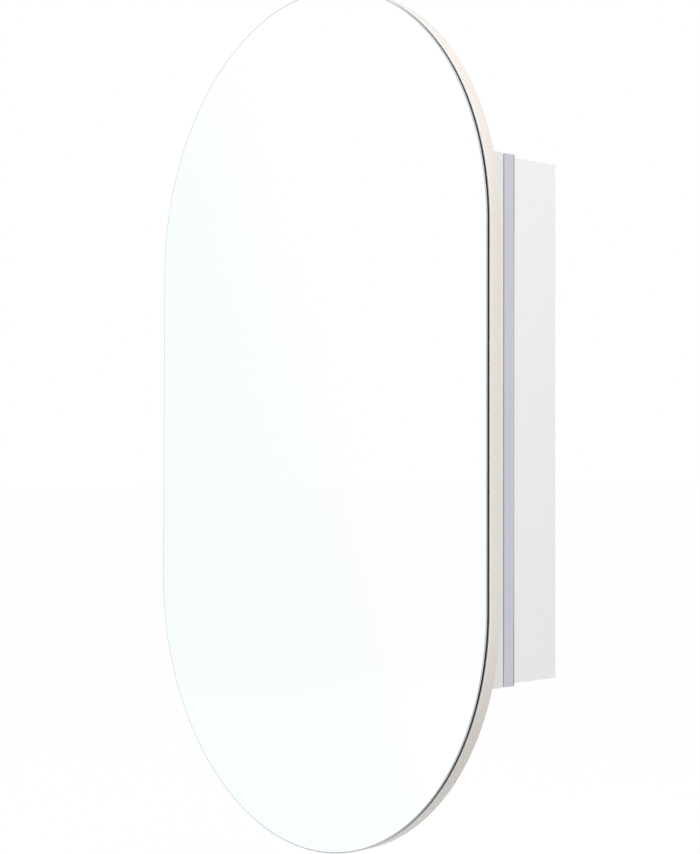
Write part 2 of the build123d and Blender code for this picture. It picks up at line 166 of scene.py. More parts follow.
def add_node(
    tree: NodeTree,
    kind: str,
    settings: dict[str, object] | None = None,
    values: dict[str | int, object] | None = None,
    links: dict[str | int, NodeSocket] | None = None,
) -> Node:
    """Add one node with its settings, its socket values and its incoming links.

    Args:
        tree: Node tree that the node goes into.
        kind: Blender's name for the node's type.
        settings: Properties of the node itself.
        values: Input sockets that hold a constant.
        links: Input sockets and the output that feeds each.

    Returns:
        The new node.
    """
    node = tree.nodes.new(kind)
    for name, value in (settings or {}).items():
        setattr(node, name, value)
    for socket, value in (values or {}).items():
        node.inputs[socket].default_value = value
    for socket, source in (links or {}).items():
        tree.links.new(source, node.inputs[socket])
    return node


def blend(tree: NodeTree, share: NodeSocket, first: Colour, second: Colour) -> NodeSocket:
    """Mix two colours.

    Args:
        tree: Node tree that the mix goes into.
        share: Output that says how much of the second colour shows.
        first: Linear colour at a share of 0.
        second: Linear colour at a share of 1.

    Returns:
        The mixed colour.
    """
    mix = add_node(
        tree,
        "ShaderNodeMix",
        settings={"data_type": "RGBA"},
        values={MIX_FIRST: first, MIX_SECOND: second},
        links={0: share},
    )
    return mix.outputs[MIX_RESULT]


def map_range(
    tree: NodeTree,
    value: NodeSocket,
    source: tuple[float, float],
    target: tuple[float, float] = (0.0, 1.0),
    interpolation: str = "LINEAR",
) -> NodeSocket:
    """Map one range of values onto another, held to its ends.

    Args:
        tree: Node tree that the mapping goes into.
        value: Output to be mapped.
        source: Values that reach the ends of the target.
        target: The ends that they are mapped onto.
        interpolation: LINEAR or SMOOTHSTEP.

    Returns:
        The mapped value.
    """
    node = add_node(
        tree,
        "ShaderNodeMapRange",
        settings={"interpolation_type": interpolation},
        values={
            "From Min": source[0],
            "From Max": source[1],
            "To Min": target[0],
            "To Max": target[1],
        },
        links={"Value": value},
    )
    return node.outputs["Result"]


@dataclass(frozen=True)
class Finish:
    """A surface finish: one material, with its colour, its gloss and its fine pattern."""

    name: str
    colour: str
    roughness: float
    metallic: float = 0.0
    ior: float = 1.5
    specular: float = 0.5
    pattern_mm: float = 3.0
    tint: float = 0.02
    relief_mm: float = 0.0
    gloss_spread: float = 0.05
    stretch: tuple[float, float, float] = (1.0, 1.0, 1.0)

    def build(self) -> Material:
        """Make the material.

        Returns:
            A material with a Principled shader, its constants set on its own sockets.
        """
        material = bpy.data.materials.new(self.name)
        material.use_nodes = True
        tree = material.node_tree
        shader = tree.nodes["Principled BSDF"]
        shader.inputs["Base Color"].default_value = linear(self.colour)
        shader.inputs["Metallic"].default_value = self.metallic
        shader.inputs["Roughness"].default_value = self.roughness
        shader.inputs["IOR"].default_value = self.ior
        shader.inputs["Specular IOR Level"].default_value = self.specular
        self.dress(tree, shader)
        return material

    def dress(self, tree: NodeTree, shader: Node) -> None:
        """Add the pattern: a faint change of tint and gloss, and the relief.

        Args:
            tree: The material's node tree.
            shader: Its Principled shader.
        """
        cloud = self.noise(tree, self.pattern_mm, self.stretch, detail=3.0)
        self.link_tint(tree, shader, cloud)
        self.link_gloss(tree, shader, cloud)
        if self.relief_mm:
            self.link_relief(tree, shader, cloud)

    def noise(
        self,
        tree: NodeTree,
        size_mm: float,
        stretch: tuple[float, float, float] = (1.0, 1.0, 1.0),
        detail: float = 2.0,
    ) -> NodeSocket:
        """Add a noise pattern of a real size on Object coordinates.

        Args:
            tree: The material's node tree.
            size_mm: Size of one blotch in millimetres.
            stretch: How many times longer the blotches are along X, Y and Z.
            detail: Octaves of finer noise.

        Returns:
            The noise's output, about 0 to 1.
        """
        place = add_node(tree, "ShaderNodeTexCoord")
        per_metre = 1.0 / (size_mm * MM)
        mapping = add_node(
            tree,
            "ShaderNodeMapping",
            values={"Scale": tuple(per_metre / share for share in stretch)},
            links={"Vector": place.outputs["Object"]},
        )
        pattern = add_node(
            tree,
            "ShaderNodeTexNoise",
            values={"Scale": 1.0, "Detail": detail, "Roughness": 0.5},
            links={"Vector": mapping.outputs["Vector"]},
        )
        return pattern.outputs["Fac"]

    def link_tint(self, tree: NodeTree, shader: Node, pattern: NodeSocket) -> None:
        """Let the pattern move the colour a little darker and lighter.

        Args:
            tree: The material's node tree.
            shader: Its Principled shader.
            pattern: The pattern's output, about 0 to 1.
        """
        ends = shade(self.colour, 1 - self.tint), shade(self.colour, 1 + self.tint)
        tree.links.new(blend(tree, pattern, *ends), shader.inputs["Base Color"])

    def link_gloss(self, tree: NodeTree, shader: Node, pattern: NodeSocket) -> None:
        """Let the pattern move the roughness about its middle value.

        Args:
            tree: The material's node tree.
            shader: Its Principled shader.
            pattern: The pattern's output, about 0 to 1.
        """
        ends = max(self.roughness - self.gloss_spread, 0.0), self.roughness + self.gloss_spread
        gloss = map_range(tree, pattern, NOISE_SPAN, ends)
        tree.links.new(gloss, shader.inputs["Roughness"])

    def link_relief(self, tree: NodeTree, shader: Node, pattern: NodeSocket) -> None:
        """Raise the surface by the pattern, to the finish's own depth.

        Args:
            tree: The material's node tree.
            shader: Its Principled shader.
            pattern: The pattern's output, about 0 to 1.
        """
        bump = add_node(
            tree,
            "ShaderNodeBump",
            values={"Strength": 1.0, "Distance": self.relief_mm * MM},
            links={"Height": pattern},
        )
        tree.links.new(bump.outputs["Normal"], shader.inputs["Normal"])


@dataclass(frozen=True)
class Lacquer(Finish):
    """Sprayed satin lacquer on board: orange peel in the gloss, a faint cloud in the colour."""

    peel_mm: float = 2.4

    def dress(self, tree: NodeTree, shader: Node) -> None:
        """Add the cloud in the colour and the orange peel in the relief and gloss.

        Args:
            tree: The material's node tree.
            shader: Its Principled shader.
        """
        cloud = self.noise(tree, self.pattern_mm, self.stretch, detail=4.0)
        peel = self.noise(tree, self.peel_mm, detail=1.0)
        self.link_tint(tree, shader, cloud)
        self.link_gloss(tree, shader, peel)
        self.link_relief(tree, shader, peel)


@dataclass(frozen=True)
class SilverWithPaintedReflection(Finish):
    """Mirror with a painted reflection: its colour cools from white to the glass's own cast across
    the pane.
    """

    # The change from white to this cast across the pane is a painted reflection.
    cast: str = "#F8FDFE"
    near: float = 0.12
    far: float = -0.16
    tilt: tuple[float, float, float] = (0.0, 0.45, 0.0)
    wipe_mm: float = 90.0
    wipe_gloss: tuple[float, float] = (0.006, 0.014)

    def dress(self, tree: NodeTree, shader: Node) -> None:
        """Add the painted reflection, a slow change of cast from lower left to upper right, and
        faint wipe marks.

        Args:
            tree: The material's node tree.
            shader: Its Principled shader.
        """
        place = add_node(tree, "ShaderNodeTexCoord")
        turned = add_node(
            tree,
            "ShaderNodeMapping",
            values={"Rotation": self.tilt},
            links={"Vector": place.outputs["Object"]},
        )
        parts = add_node(
            tree, "ShaderNodeSeparateXYZ", links={"Vector": turned.outputs["Vector"]}
        )
        reach = self.far, self.near
        # Painted reflection: the colour runs from the cast to white across the pane.
        slope = map_range(tree, parts.outputs["X"], reach, interpolation="SMOOTHSTEP")
        colour = blend(tree, slope, linear(self.cast), linear(self.colour))
        tree.links.new(colour, shader.inputs["Base Color"])
        marks = self.noise(tree, self.wipe_mm, detail=4.0)
        gloss = map_range(tree, marks, NOISE_SPAN, self.wipe_gloss)
        tree.links.new(gloss, shader.inputs["Roughness"])


@dataclass(frozen=True)
class ClearGlass(Finish):
    """Float glass or silicone that light goes through."""

    transmission: float = 1.0

    def dress(self, tree: NodeTree, shader: Node) -> None:
        """Let light through, with a faint pattern in gloss and tint.

        Args:
            tree: The material's node tree.
            shader: Its Principled shader.
        """
        shader.inputs["Transmission Weight"].default_value = self.transmission
        marks = self.noise(tree, self.pattern_mm, detail=4.0)
        self.link_gloss(tree, shader, marks)
        self.link_tint(tree, shader, marks)


@dataclass(frozen=True)
class EdgeInPaintedShadow(Finish):
    """Metal edge in painted shadow that darkens from the middle of its height towards its ends."""

    # Painted shadow: the contact shadow of the seam behind the trim, faint near mid-height and
    # darkest towards the ends.
    dark: str = "#4A4850"
    unshaded_to: float = 0.13
    full_shadow_from: float = 0.23

    def dress(self, tree: NodeTree, shader: Node) -> None:
        """Add the painted shadow that darkens along Z, and the fine relief.

        Args:
            tree: The material's node tree.
            shader: Its Principled shader.
        """
        place = add_node(tree, "ShaderNodeTexCoord")
        parts = add_node(
            tree, "ShaderNodeSeparateXYZ", links={"Vector": place.outputs["Object"]}
        )
        height = add_node(
            tree,
            "ShaderNodeMath",
            settings={"operation": "ABSOLUTE"},
            links={0: parts.outputs["Z"]},
        )
        # Painted shadow, by distance from mid-height.
        slope = map_range(tree, height.outputs[0], (self.unshaded_to, self.full_shadow_from))
        colour = blend(tree, slope, linear(self.colour), linear(self.dark))
        tree.links.new(colour, shader.inputs["Base Color"])
        fine = self.noise(tree, self.pattern_mm)
        self.link_gloss(tree, shader, fine)
        self.link_relief(tree, shader, fine)


@dataclass(frozen=True)
class TurnedWood(Finish):
    """Straight-grained hardwood, the grain along X as in a dowel."""

    grain_mm: float = 0.7
    grain_length: float = 18.0
    grain_colour: str = "#9A7650"
    grain_span: tuple[float, float] = (0.35, 0.6)

    def dress(self, tree: NodeTree, shader: Node) -> None:
        """Add the grain lines to colour and relief.

        Args:
            tree: The material's node tree.
            shader: Its Principled shader.
        """
        grain = self.noise(tree, self.grain_mm, (self.grain_length, 1.0, 1.0), detail=5.0)
        ramp = add_node(tree, "ShaderNodeValToRGB", links={"Fac": grain})
        colours = (self.grain_colour, self.colour)
        for index, (position, colour) in enumerate(zip(self.grain_span, colours)):
            ramp.color_ramp.elements[index].position = position
            ramp.color_ramp.elements[index].color = linear(colour)
        tree.links.new(ramp.outputs["Color"], shader.inputs["Base Color"])
        self.link_gloss(tree, shader, grain)
        self.link_relief(tree, shader, grain)


class Palette:
    """Every finish of the cabinet, built once."""

    def __init__(self) -> None:
        """Build the materials."""
        # Silvered float glass: a true reflection, with a painted reflection that cools it to the
        # glass's cast towards one side.
        self.silver = SilverWithPaintedReflection("silvered_mirror", "#FFFFFF", 0.01, metallic=1.0).build()
        # Ground and polished glass edge: nearly black, because it looks into the dark backing.
        self.glass_edge = Finish(
            "polished_glass_edge", "#20262A", 0.16, specular=0.12, pattern_mm=6, tint=0.2,
            stretch=(1.0, 0.3, 4.0),
        ).build()
        # Margin of the pane just inside its edge: a pale grey outline.
        self.silver_margin = Finish(
            "silver_margin", "#B5BBBB", 0.3, pattern_mm=3, tint=0.03
        ).build()
        # Front arris, ground and polished, with no silver behind it: a thin grey line.
        self.front_arris = Finish(
            "polished_arris", "#D3D7D7", 0.3, pattern_mm=1.5, tint=0.05
        ).build()
        # Rear arris, left as ground: frosted, so it catches the light as a thin bright line.
        self.rear_arris = Finish(
            "ground_arris", "#EDEFEE", 0.45, pattern_mm=1.5, tint=0.04
        ).build()
        # Safety backing paint on the silver: flat pale grey with roller texture.
        self.backing = Finish(
            "mirror_backing_paint", "#C9CCCD", 0.6, pattern_mm=4, tint=0.03, relief_mm=0.02
        ).build()
        # Satin polyurethane lacquer on MDF: even white with fine orange peel.
        self.lacquer = Lacquer(
            "satin_white_lacquer", "#EFEFEE", 0.34, pattern_mm=60, tint=0.01, relief_mm=0.006,
            gloss_spread=0.04,
        ).build()
        # The same lacquer on the carrier's cut edges and back, in painted shade: a shade greyer.
        self.shaded_lacquer = Lacquer(
            "white_lacquer_painted_shade", "#E4E4E1", 0.38, pattern_mm=60, tint=0.012, relief_mm=0.008,
            gloss_spread=0.05,
        ).build()
        # ABS edge banding, extruded and buffed: warm off-white, smoother than the faces.
        self.edge_band = Finish(
            "abs_edge_band", "#E8E1DA", 0.4, pattern_mm=8, tint=0.012, relief_mm=0.01,
            stretch=(3.0, 0.4, 3.0),
        ).build()
        # Satin anodised aluminium extrusion: lavender grey with die lines along its length.
        self.anodised = Finish(
            "satin_anodised_aluminium", "#CBC9D4", 0.42, metallic=0.35, pattern_mm=0.8, tint=0.03,
            relief_mm=0.004, stretch=(60.0, 1.0, 60.0), gloss_spread=0.08,
        ).build()
        # Rounded rear edge of the trim in painted shadow: grey at mid-height, a fine dark line
        # towards its ends.
        self.shadow_line = EdgeInPaintedShadow(
            "rear_edge_painted_shadow", "#B3B1BC", 0.5, metallic=0.2, relief_mm=0.003
        ).build()
        # Nickel-plated pressed steel: bright, softly streaked by the strip's rolling.
        self.nickel = Finish(
            "nickel_plated_steel", "#CFCDC9", 0.24, metallic=1.0, pattern_mm=1.6, tint=0.025,
            stretch=(1.0, 1.0, 10.0), gloss_spread=0.05,
        ).build()
        # Bright zinc plate on screws: cool grey with a mottled gloss.
        self.zinc = Finish(
            "bright_zinc_plate", "#BFC4C8", 0.3, metallic=1.0, pattern_mm=0.7, tint=0.08,
            gloss_spread=0.1,
        ).build()
        # Die-cast zinc alloy of the cams: dull grey with a cast skin.
        self.die_cast = Finish(
            "die_cast_zinc", "#9A9DA0", 0.45, metallic=1.0, pattern_mm=1.2, tint=0.1,
            relief_mm=0.03, gloss_spread=0.1,
        ).build()
        # Beech dowel: pale brown with short straight grain.
        self.beech = TurnedWood("turned_beech", "#D0AC7C", 0.6, relief_mm=0.04).build()
        # Moulded polypropylene: white with a fine spark-eroded grain.
        self.plastic = Finish(
            "moulded_white_plastic", "#EBEBE8", 0.48, pattern_mm=0.6, tint=0.015, relief_mm=0.015
        ).build()
        # Sintered ferrite: charcoal and slightly granular.
        self.ferrite = Finish(
            "sintered_ferrite", "#2B2B2E", 0.6, pattern_mm=0.5, tint=0.2, relief_mm=0.03
        ).build()
        # Clear soft silicone: milky in this thickness, with soft-edged highlights.
        self.silicone = ClearGlass(
            "clear_silicone", "#EDF0F0", 0.22, ior=1.41, pattern_mm=2, transmission=0.3
        ).build()
        # Clear float glass of the shelves, with a faint green cast.
        self.shelf_face = ClearGlass(
            "clear_float_glass", "#EEF8F4", 0.02, pattern_mm=40, tint=0.01, gloss_spread=0.01,
            transmission=0.88,
        ).build()
        # Polished edge of the shelves: green, as the light has run through the pane's length.
        self.shelf_edge = ClearGlass(
            "polished_shelf_edge", "#9CCFBD", 0.08, pattern_mm=12, tint=0.05, transmission=0.25
        ).build()
        # White foam mounting tape: dull with open cells.
        self.foam = Finish(
            "foam_mounting_tape", "#DEDDD8", 0.85, pattern_mm=0.8, tint=0.08, relief_mm=0.08
        ).build()


# Modelling moves


def facing(way: Vector, least: float = ROUGHLY) -> Test:
    """Test for a direction that points one way, to a least cosine."""
    return lambda place, run: run.dot(way) > least


def along(way: Vector, least: float = ROUGHLY) -> Test:
    """Test for a direction that lies along an axis, either way round."""
    return lambda place, run: abs(run.dot(way)) > least


def anywhere(place: Vector, run: Vector) -> bool:
    """Test that every element passes."""
    return True


def drop_selection() -> None:
    """Leave nothing selected, with no object in edit mode."""
    if bpy.context.object and bpy.context.object.mode != "OBJECT":
        bpy.ops.object.mode_set(mode="OBJECT")
    bpy.ops.object.select_all(action="DESELECT")


class Workpiece:
    """One mesh on the bench, shaped with Blender's own modelling operators."""

    def __init__(self, obj: Object, name: str) -> None:
        """Take an object onto the bench under its piece name.

        Args:
            obj: The mesh object.
            name: The name that it and its mesh get.
        """
        obj.name = name
        obj.data.name = name
        self.obj = obj

    @classmethod
    def block(cls, name: str, low: Sequence[float], high: Sequence[float]) -> "Workpiece":
        """Start from a block between two corners.

        Args:
            name: The piece's name.
            low: Its lowest corner.
            high: Its highest corner.

        Returns:
            The new workpiece, its place in its mesh.
        """
        drop_selection()
        low, high = Vector(low), Vector(high)
        bpy.ops.mesh.primitive_cube_add(size=1, location=(low + high) / 2)
        piece = cls(bpy.context.active_object, name)
        piece.obj.scale = high - low
        piece.settle()
        return piece

    @classmethod
    def rod(
        cls,
        name: str,
        radius: float,
        start: Sequence[float],
        end: Sequence[float],
        sides: int = 40,
    ) -> "Workpiece":
        """Start from a round bar between two points.

        Args:
            name: The piece's name.
            radius: The bar's radius.
            start: Centre of its first end.
            end: Centre of its other end.
            sides: Sides of the round.

        Returns:
            The new workpiece, its place in its mesh.
        """
        drop_selection()
        start, end = Vector(start), Vector(end)
        axis = end - start
        bpy.ops.mesh.primitive_cylinder_add(
            vertices=sides,
            radius=radius,
            depth=axis.length,
            location=(start + end) / 2,
            rotation=axis.to_track_quat("Z", "Y").to_euler(),
        )
        piece = cls(bpy.context.active_object, name)
        piece.settle()
        return piece

    def hold(self) -> None:
        """Select this object alone and make it the active one."""
        drop_selection()
        self.obj.select_set(True)
        bpy.context.view_layer.objects.active = self.obj

    def settle(self) -> None:
        """Move the object's place, turn and scale into its mesh."""
        self.hold()
        bpy.ops.object.transform_apply(location=True, rotation=True, scale=True)

    def turn(self, matrix: Matrix) -> "Workpiece":
        """Turn or move the whole piece, into its mesh.

        Args:
            matrix: The turn and move.

        Returns:
            This workpiece.
        """
        self.obj.matrix_world = matrix @ self.obj.matrix_world
        self.settle()
        return self

    def pick(self, part: Part, test: Test) -> int:
        """Select some elements for the next move and go into edit mode.

        Args:
            part: Which kind of element.
            test: Given an element's centre and its direction, says whether it is wanted.
                The direction is a face's normal, an edge's run, or a vertex's normal.

        Returns:
            How many were picked.
        """
        self.hold()
        mesh = self.obj.data
        flags = tuple(part is kind for kind in (Part.VERTEX, Part.EDGE, Part.FACE))
        bpy.context.tool_settings.mesh_select_mode = flags
        for group in (mesh.vertices, mesh.edges, mesh.polygons):
            group.foreach_set("select", [False] * len(group))
        wanted = [item for item, centre, run in self.elements(part) if test(centre, run)]
        for item in wanted:
            item.select = True
        bpy.ops.object.mode_set(mode="EDIT")
        return len(wanted)

    def elements(self, part: Part) -> list[tuple[object, Vector, Vector]]:
        """The mesh's elements of one kind.

        Args:
            part: Which kind of element.

        Returns:
            Each element with its centre and its direction.
        """
        mesh = self.obj.data
        if part is Part.FACE:
            return [(face, face.center, face.normal) for face in mesh.polygons]
        if part is Part.VERTEX:
            return [(vertex, vertex.co, vertex.normal) for vertex in mesh.vertices]
        rows = []
        for edge in mesh.edges:
            first, second = (mesh.vertices[index].co for index in edge.vertices)
            rows.append((edge, (first + second) / 2, (second - first).normalized()))
        return rows

    def pick_all(self) -> None:
        """Select the whole mesh."""
        self.pick(Part.FACE, anywhere)

    def bevel(self, part: Part, test: Test, width: float, segments: int = 3) -> "Workpiece":
        """Round the picked edges, or the edges of the picked faces.

        Args:
            part: Edges or faces.
            test: Says which are wanted.
            width: How far the round reaches from the edge.
            segments: Steps in the round.

        Returns:
            This workpiece.
        """
        if self.pick(part, test):
            bpy.ops.mesh.bevel(offset=width, segments=segments, affect="EDGES", clamp_overlap=True)
        drop_selection()
        return self

    def extrude(self, test: Test, by: Sequence[float]) -> "Workpiece":
        """Pull the picked faces out.

        Args:
            test: Says which faces are wanted.
            by: How far and which way.

        Returns:
            This workpiece.
        """
        if self.pick(Part.FACE, test):
            bpy.ops.mesh.extrude_region_move(TRANSFORM_OT_translate={"value": tuple(by)})
        drop_selection()
        return self

    def inset(self, test: Test, width: float, depth: float = 0.0) -> "Workpiece":
        """Inset the picked faces, and push them in or out.

        Args:
            test: Says which faces are wanted.
            width: Width of the new rim.
            depth: How far they move out, or in where it is negative.

        Returns:
            This workpiece.
        """
        if self.pick(Part.FACE, test):
            bpy.ops.mesh.inset(thickness=width, depth=depth)
        drop_selection()
        return self

    def taper(
        self, way: Vector, share: float, about: Sequence[float] = (0.0, 0.0, 0.0)
    ) -> "Workpiece":
        """Draw in the end that faces one way.

        Args:
            way: The axis that leads out of that end.
            share: What the end's width is multiplied by.
            about: A point on the line that it is drawn in to.

        Returns:
            This workpiece.
        """
        self.pick(Part.FACE, facing(way))
        across = tuple(1.0 if abs(step) > ROUGHLY else share for step in way)
        bpy.ops.transform.resize(value=across, center_override=tuple(about))
        drop_selection()
        return self

    def cut(
        self, point: Sequence[float], normal: Sequence[float], keep_both: bool = False
    ) -> "Workpiece":
        """Cut the mesh with a plane, and cap it where one side is dropped.

        Args:
            point: A point on the plane.
            normal: Points to the side that is dropped.
            keep_both: Leave both sides, with new edges between them.

        Returns:
            This workpiece.
        """
        self.pick_all()
        bpy.ops.mesh.bisect(
            plane_co=tuple(point),
            plane_no=tuple(normal),
            use_fill=not keep_both,
            clear_outer=not keep_both,
        )
        drop_selection()
        return self

    def combine(self, tool: "Workpiece", operation: str) -> "Workpiece":
        """Join to or cut by another piece, which is used up.

        Args:
            tool: The other piece.
            operation: UNION or DIFFERENCE.

        Returns:
            This workpiece.
        """
        self.hold()
        modifier = self.obj.modifiers.new("boolean", "BOOLEAN")
        modifier.operation = operation
        modifier.solver = "EXACT"
        modifier.object = tool.obj
        bpy.ops.object.modifier_apply(modifier=modifier.name)
        bpy.data.objects.remove(tool.obj, do_unlink=True)
        return self

    def copy(self, name: str, matrix: Matrix) -> "Workpiece":
        """Copy the piece with its own mesh.

        Args:
            name: The copy's name.
            matrix: What moves the copy to its place.

        Returns:
            The copy.
        """
        twin = self.obj.copy()
        twin.data = self.obj.data.copy()
        bpy.context.collection.objects.link(twin)
        return Workpiece(twin, name).turn(matrix)

    def absorb(self, others: Sequence["Workpiece"]) -> "Workpiece":
        """Join other pieces to this one as separate shells.

        Args:
            others: The pieces, which are used up.

        Returns:
            This workpiece.
        """
        self.hold()
        for other in others:
            other.obj.select_set(True)
        bpy.ops.object.join()
        return self

    def close_up(self, smooth_deg: float = 35.0) -> None:
        """Merge doubles, point the normals outwards and smooth the shading.

        Args:
            smooth_deg: Edges sharper than this stay sharp.
        """
        self.pick_all()
        bpy.ops.mesh.remove_doubles(threshold=MERGE)
        bpy.ops.mesh.normals_make_consistent(inside=False)
        self.hold()
        bpy.ops.object.shade_smooth_by_angle(angle=math.radians(smooth_deg))

    def paint(
        self,
        materials: Sequence[Material],
        choose: Callable[[MeshPolygon], int],
    ) -> None:
        """Give the piece its materials, face by face.

        Args:
            materials: The finishes, in slot order.
            choose: Given a face, says which slot it takes.
        """
        self.obj.data.materials.clear()
        for material in materials:
            self.obj.data.materials.append(material)
        for face in self.obj.data.polygons:
            face.material_index = choose(face)


def solids_of(node: str) -> list[Box]:
    """Boxes of the separate solids in a CAD node, found on a merged copy of it.

    Args:
        node: The CAD node's name.

    Returns:
        The lowest and highest corner of each solid, from low to high.
    """
    drop_selection()
    source = frame["nodes"][node]
    twin = source.copy()
    twin.data = source.data.copy()
    twin.parent = None
    twin.matrix_world = Matrix.Identity(4)
    bpy.context.collection.objects.link(twin)
    twin.hide_viewport = False
    twin.hide_set(False)
    twin.select_set(True)
    bpy.context.view_layer.objects.active = twin
    bpy.ops.object.mode_set(mode="EDIT")
    bpy.ops.mesh.select_all(action="SELECT")
    bpy.ops.mesh.remove_doubles(threshold=CAD_MERGE)
    bpy.ops.mesh.separate(type="LOOSE")
    bpy.ops.object.mode_set(mode="OBJECT")
    boxes = []
    for shell in list(bpy.context.selected_objects):
        places = [vertex.co for vertex in shell.data.vertices]
        low = Vector(min(place[axis] for place in places) for axis in range(3))
        high = Vector(max(place[axis] for place in places) for axis in range(3))
        boxes.append((low, high))
        bpy.data.objects.remove(shell, do_unlink=True)
    return sorted(boxes, key=lambda corners: tuple(corners[0]))


def middle(corners: Box) -> Vector:
    """Centre of a box."""
    return (corners[0] + corners[1]) / 2


@dataclass
class SubAssembly:
    """A group of pieces that are modelled, dressed and handed over together."""

    palette: Palette

    def hand_over(
        self,
        piece: Workpiece,
        body: Body,
        slot: Slot,
        nodes: Sequence[str],
        material: Material | None = None,
    ) -> None:
        """Finish a piece and set what it rides on, what it is made of and what it replaces.

        Args:
            piece: The finished shape.
            body: The body that it rides on.
            slot: The record's material slot; not used.
            nodes: The CAD nodes that it stands for.
            material: Its finish, where it has just one.
        """
        piece.close_up()
        if material:
            piece.paint([material], lambda face: 0)
        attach(piece.obj, body.value)
        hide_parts(*nodes)
        faces = len(piece.obj.data.polygons)
        LOG.info("%s rides on %s with %d faces", piece.obj.name, body.value, faces)

    def hand_over_group(
        self,
        copies: Sequence[Workpiece],
        name: str,
        body: Body,
        slot: Slot,
        node: str,
        material: Material,
    ) -> None:
        """Join alike pieces as separate shells and hand them over under one name.

        Args:
            copies: The pieces.
            name: The group's name.
            body: The body that they ride on.
            slot: The record's material slot; not used.
            node: The CAD node that they stand for.
            material: Their finish.
        """
        group = copies[0].absorb(copies[1:])
        group.obj.name = name
        self.hand_over(group, body, slot, [node], material)


# The door


@dataclass
class PillPlate:
    """An upright plate with round ends, as the mirror and its board are cut."""

    width: float
    height: float
    front: float
    back: float
    level: float
    sides: int = 288

    def build(self, name: str) -> Workpiece:
        """Make the plate from a disc whose halves are drawn apart.

        Args:
            name: The piece's name.

        Returns:
            The plate as a workpiece.
        """
        radius = self.width / 2
        plate = Workpiece.rod(name, radius, (0, self.back, 0), (0, self.front, 0), self.sides)
        plate.turn(Matrix.Rotation(math.pi / self.sides, 4, "Y"))
        stretch = self.height / 2 - radius
        for half in (-1, 1):
            plate.pick(Part.VERTEX, lambda place, normal: place.z * half > 0)
            bpy.ops.transform.translate(value=(0, 0, half * stretch))
            drop_selection()
        return plate.turn(Matrix.Translation((0, 0, self.level)))


@dataclass
class MirrorDoor(SubAssembly):
    """Mirror, pill board and its edge band."""

    glass_arris: float = 0.6 * MM
    bare_rim: float = 0.7 * MM
    # Front strip of the band in the board's white lacquer: lacquer over the band, and a painted
    # highlight line at the board's front edge.
    lacquer_and_highlight_wrap: float = 0.8 * MM
    band_round: float = 0.35 * MM
    band_thickness: float = 1.0 * MM
    board_arris: float = 0.15 * MM
    # A face that fills the whole pill has its centre nearer to the origin than this, in metres.
    face_reach: float = 0.2
    # Play in finding the rim of the band's hole, and the steepest run of that rim's edges.
    rim_play: float = 0.1 * MM
    rim_slope: float = 0.5
    # Past this a face of the pane is no longer its edge.
    arris_slope: float = 0.2

    def build(self) -> None:
        """Model the three pieces."""
        self.mirror()
        self.edge_band()
        self.board()

    def plate_for(self, node: str) -> PillPlate:
        """Pill plate of the size and place of a CAD node."""
        low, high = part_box(node)
        return PillPlate(high.x - low.x, high.z - low.z, low.y, high.y, middle((low, high)).z)

    def mirror(self) -> None:
        """Silvered pane with a polished edge and an arris on both faces."""
        pane = self.plate_for("mirror_glass").build("mirror_pane")
        pane.bevel(Part.FACE, along(Y_AXIS), self.glass_arris, segments=1)
        pane.inset(facing(-Y_AXIS, SQUARELY), self.bare_rim)
        pane.close_up()
        palette = self.palette
        finishes = {
            Zone.SILVER: palette.silver,
            Zone.EDGE: palette.glass_edge,
            Zone.FRONT_ARRIS: palette.front_arris,
            Zone.REAR_ARRIS: palette.rear_arris,
            Zone.BACKING: palette.backing,
            Zone.MARGIN: palette.silver_margin,
        }
        pane.paint(list(finishes.values()), self.zone_of)
        self.hand_over(pane, Body.DOOR, Slot.MIRROR, ["mirror_glass"])

    def zone_of(self, face: MeshPolygon) -> Zone:
        """Find the zone of the pane that a face lies in.

        Args:
            face: A face of the finished pane.

        Returns:
            Silver or its margin in front, paint behind, the edge or an arris between.
        """
        rearward = face.normal.y
        if rearward > self.arris_slope:
            return Zone.BACKING if rearward > SQUARELY else Zone.REAR_ARRIS
        if rearward < -SQUARELY:
            is_rim = len(face.vertices) <= 4
            return Zone.MARGIN if is_rim else Zone.SILVER
        return Zone.FRONT_ARRIS if rearward < -self.arris_slope else Zone.EDGE

    def edge_band(self) -> None:
        """Thin band round the board, with eased corners and white lacquer over its front, which
        also paints a highlight line.
        """
        plate = self.plate_for("door_edge_band")
        band = plate.build("board_edge_band")
        band.bevel(Part.FACE, along(Y_AXIS), self.band_round, segments=3)
        flat = along(Y_AXIS, EXACTLY)
        band.inset(flat, self.band_thickness - self.band_round)
        band.pick(
            Part.FACE,
            lambda centre, normal: flat(centre, normal) and centre.length < self.face_reach,
        )
        bpy.ops.mesh.delete(type="FACE")
        drop_selection()
        inner = plate.width / 2 - self.band_thickness + self.rim_play
        straight = plate.height / 2 - plate.width / 2

        def on_inner_rim(place: Vector, run: Vector) -> bool:
            """Whether an edge lies on the open rim round the hole."""
            beyond = max(abs(place.z - plate.level) - straight, 0.0)
            return math.hypot(place.x, beyond) < inner and abs(run.y) < self.rim_slope

        band.pick(Part.EDGE, on_inner_rim)
        bpy.ops.mesh.bridge_edge_loops()
        drop_selection()
        # The white front strip is partly lacquer, partly a painted highlight.
        wrap = plate.front + self.lacquer_and_highlight_wrap
        band.cut((0, wrap, 0), Y_AXIS, keep_both=True)
        band.close_up()
        finishes = [self.palette.edge_band, self.palette.lacquer]
        band.paint(finishes, lambda face: 1 if face.center.y < wrap else 0)
        self.hand_over(band, Body.DOOR, Slot.EDGE_BAND, ["door_edge_band"])

    def board(self) -> None:
        """Lacquered pill board inside the band, with a hairline groove at the band."""
        board = self.plate_for("door_board").build("pill_board")
        board.bevel(Part.FACE, along(Y_AXIS), self.board_arris, segments=1)
        self.hand_over(board, Body.DOOR, Slot.BOARD, ["door_board"], self.palette.lacquer)


# The trim round the box


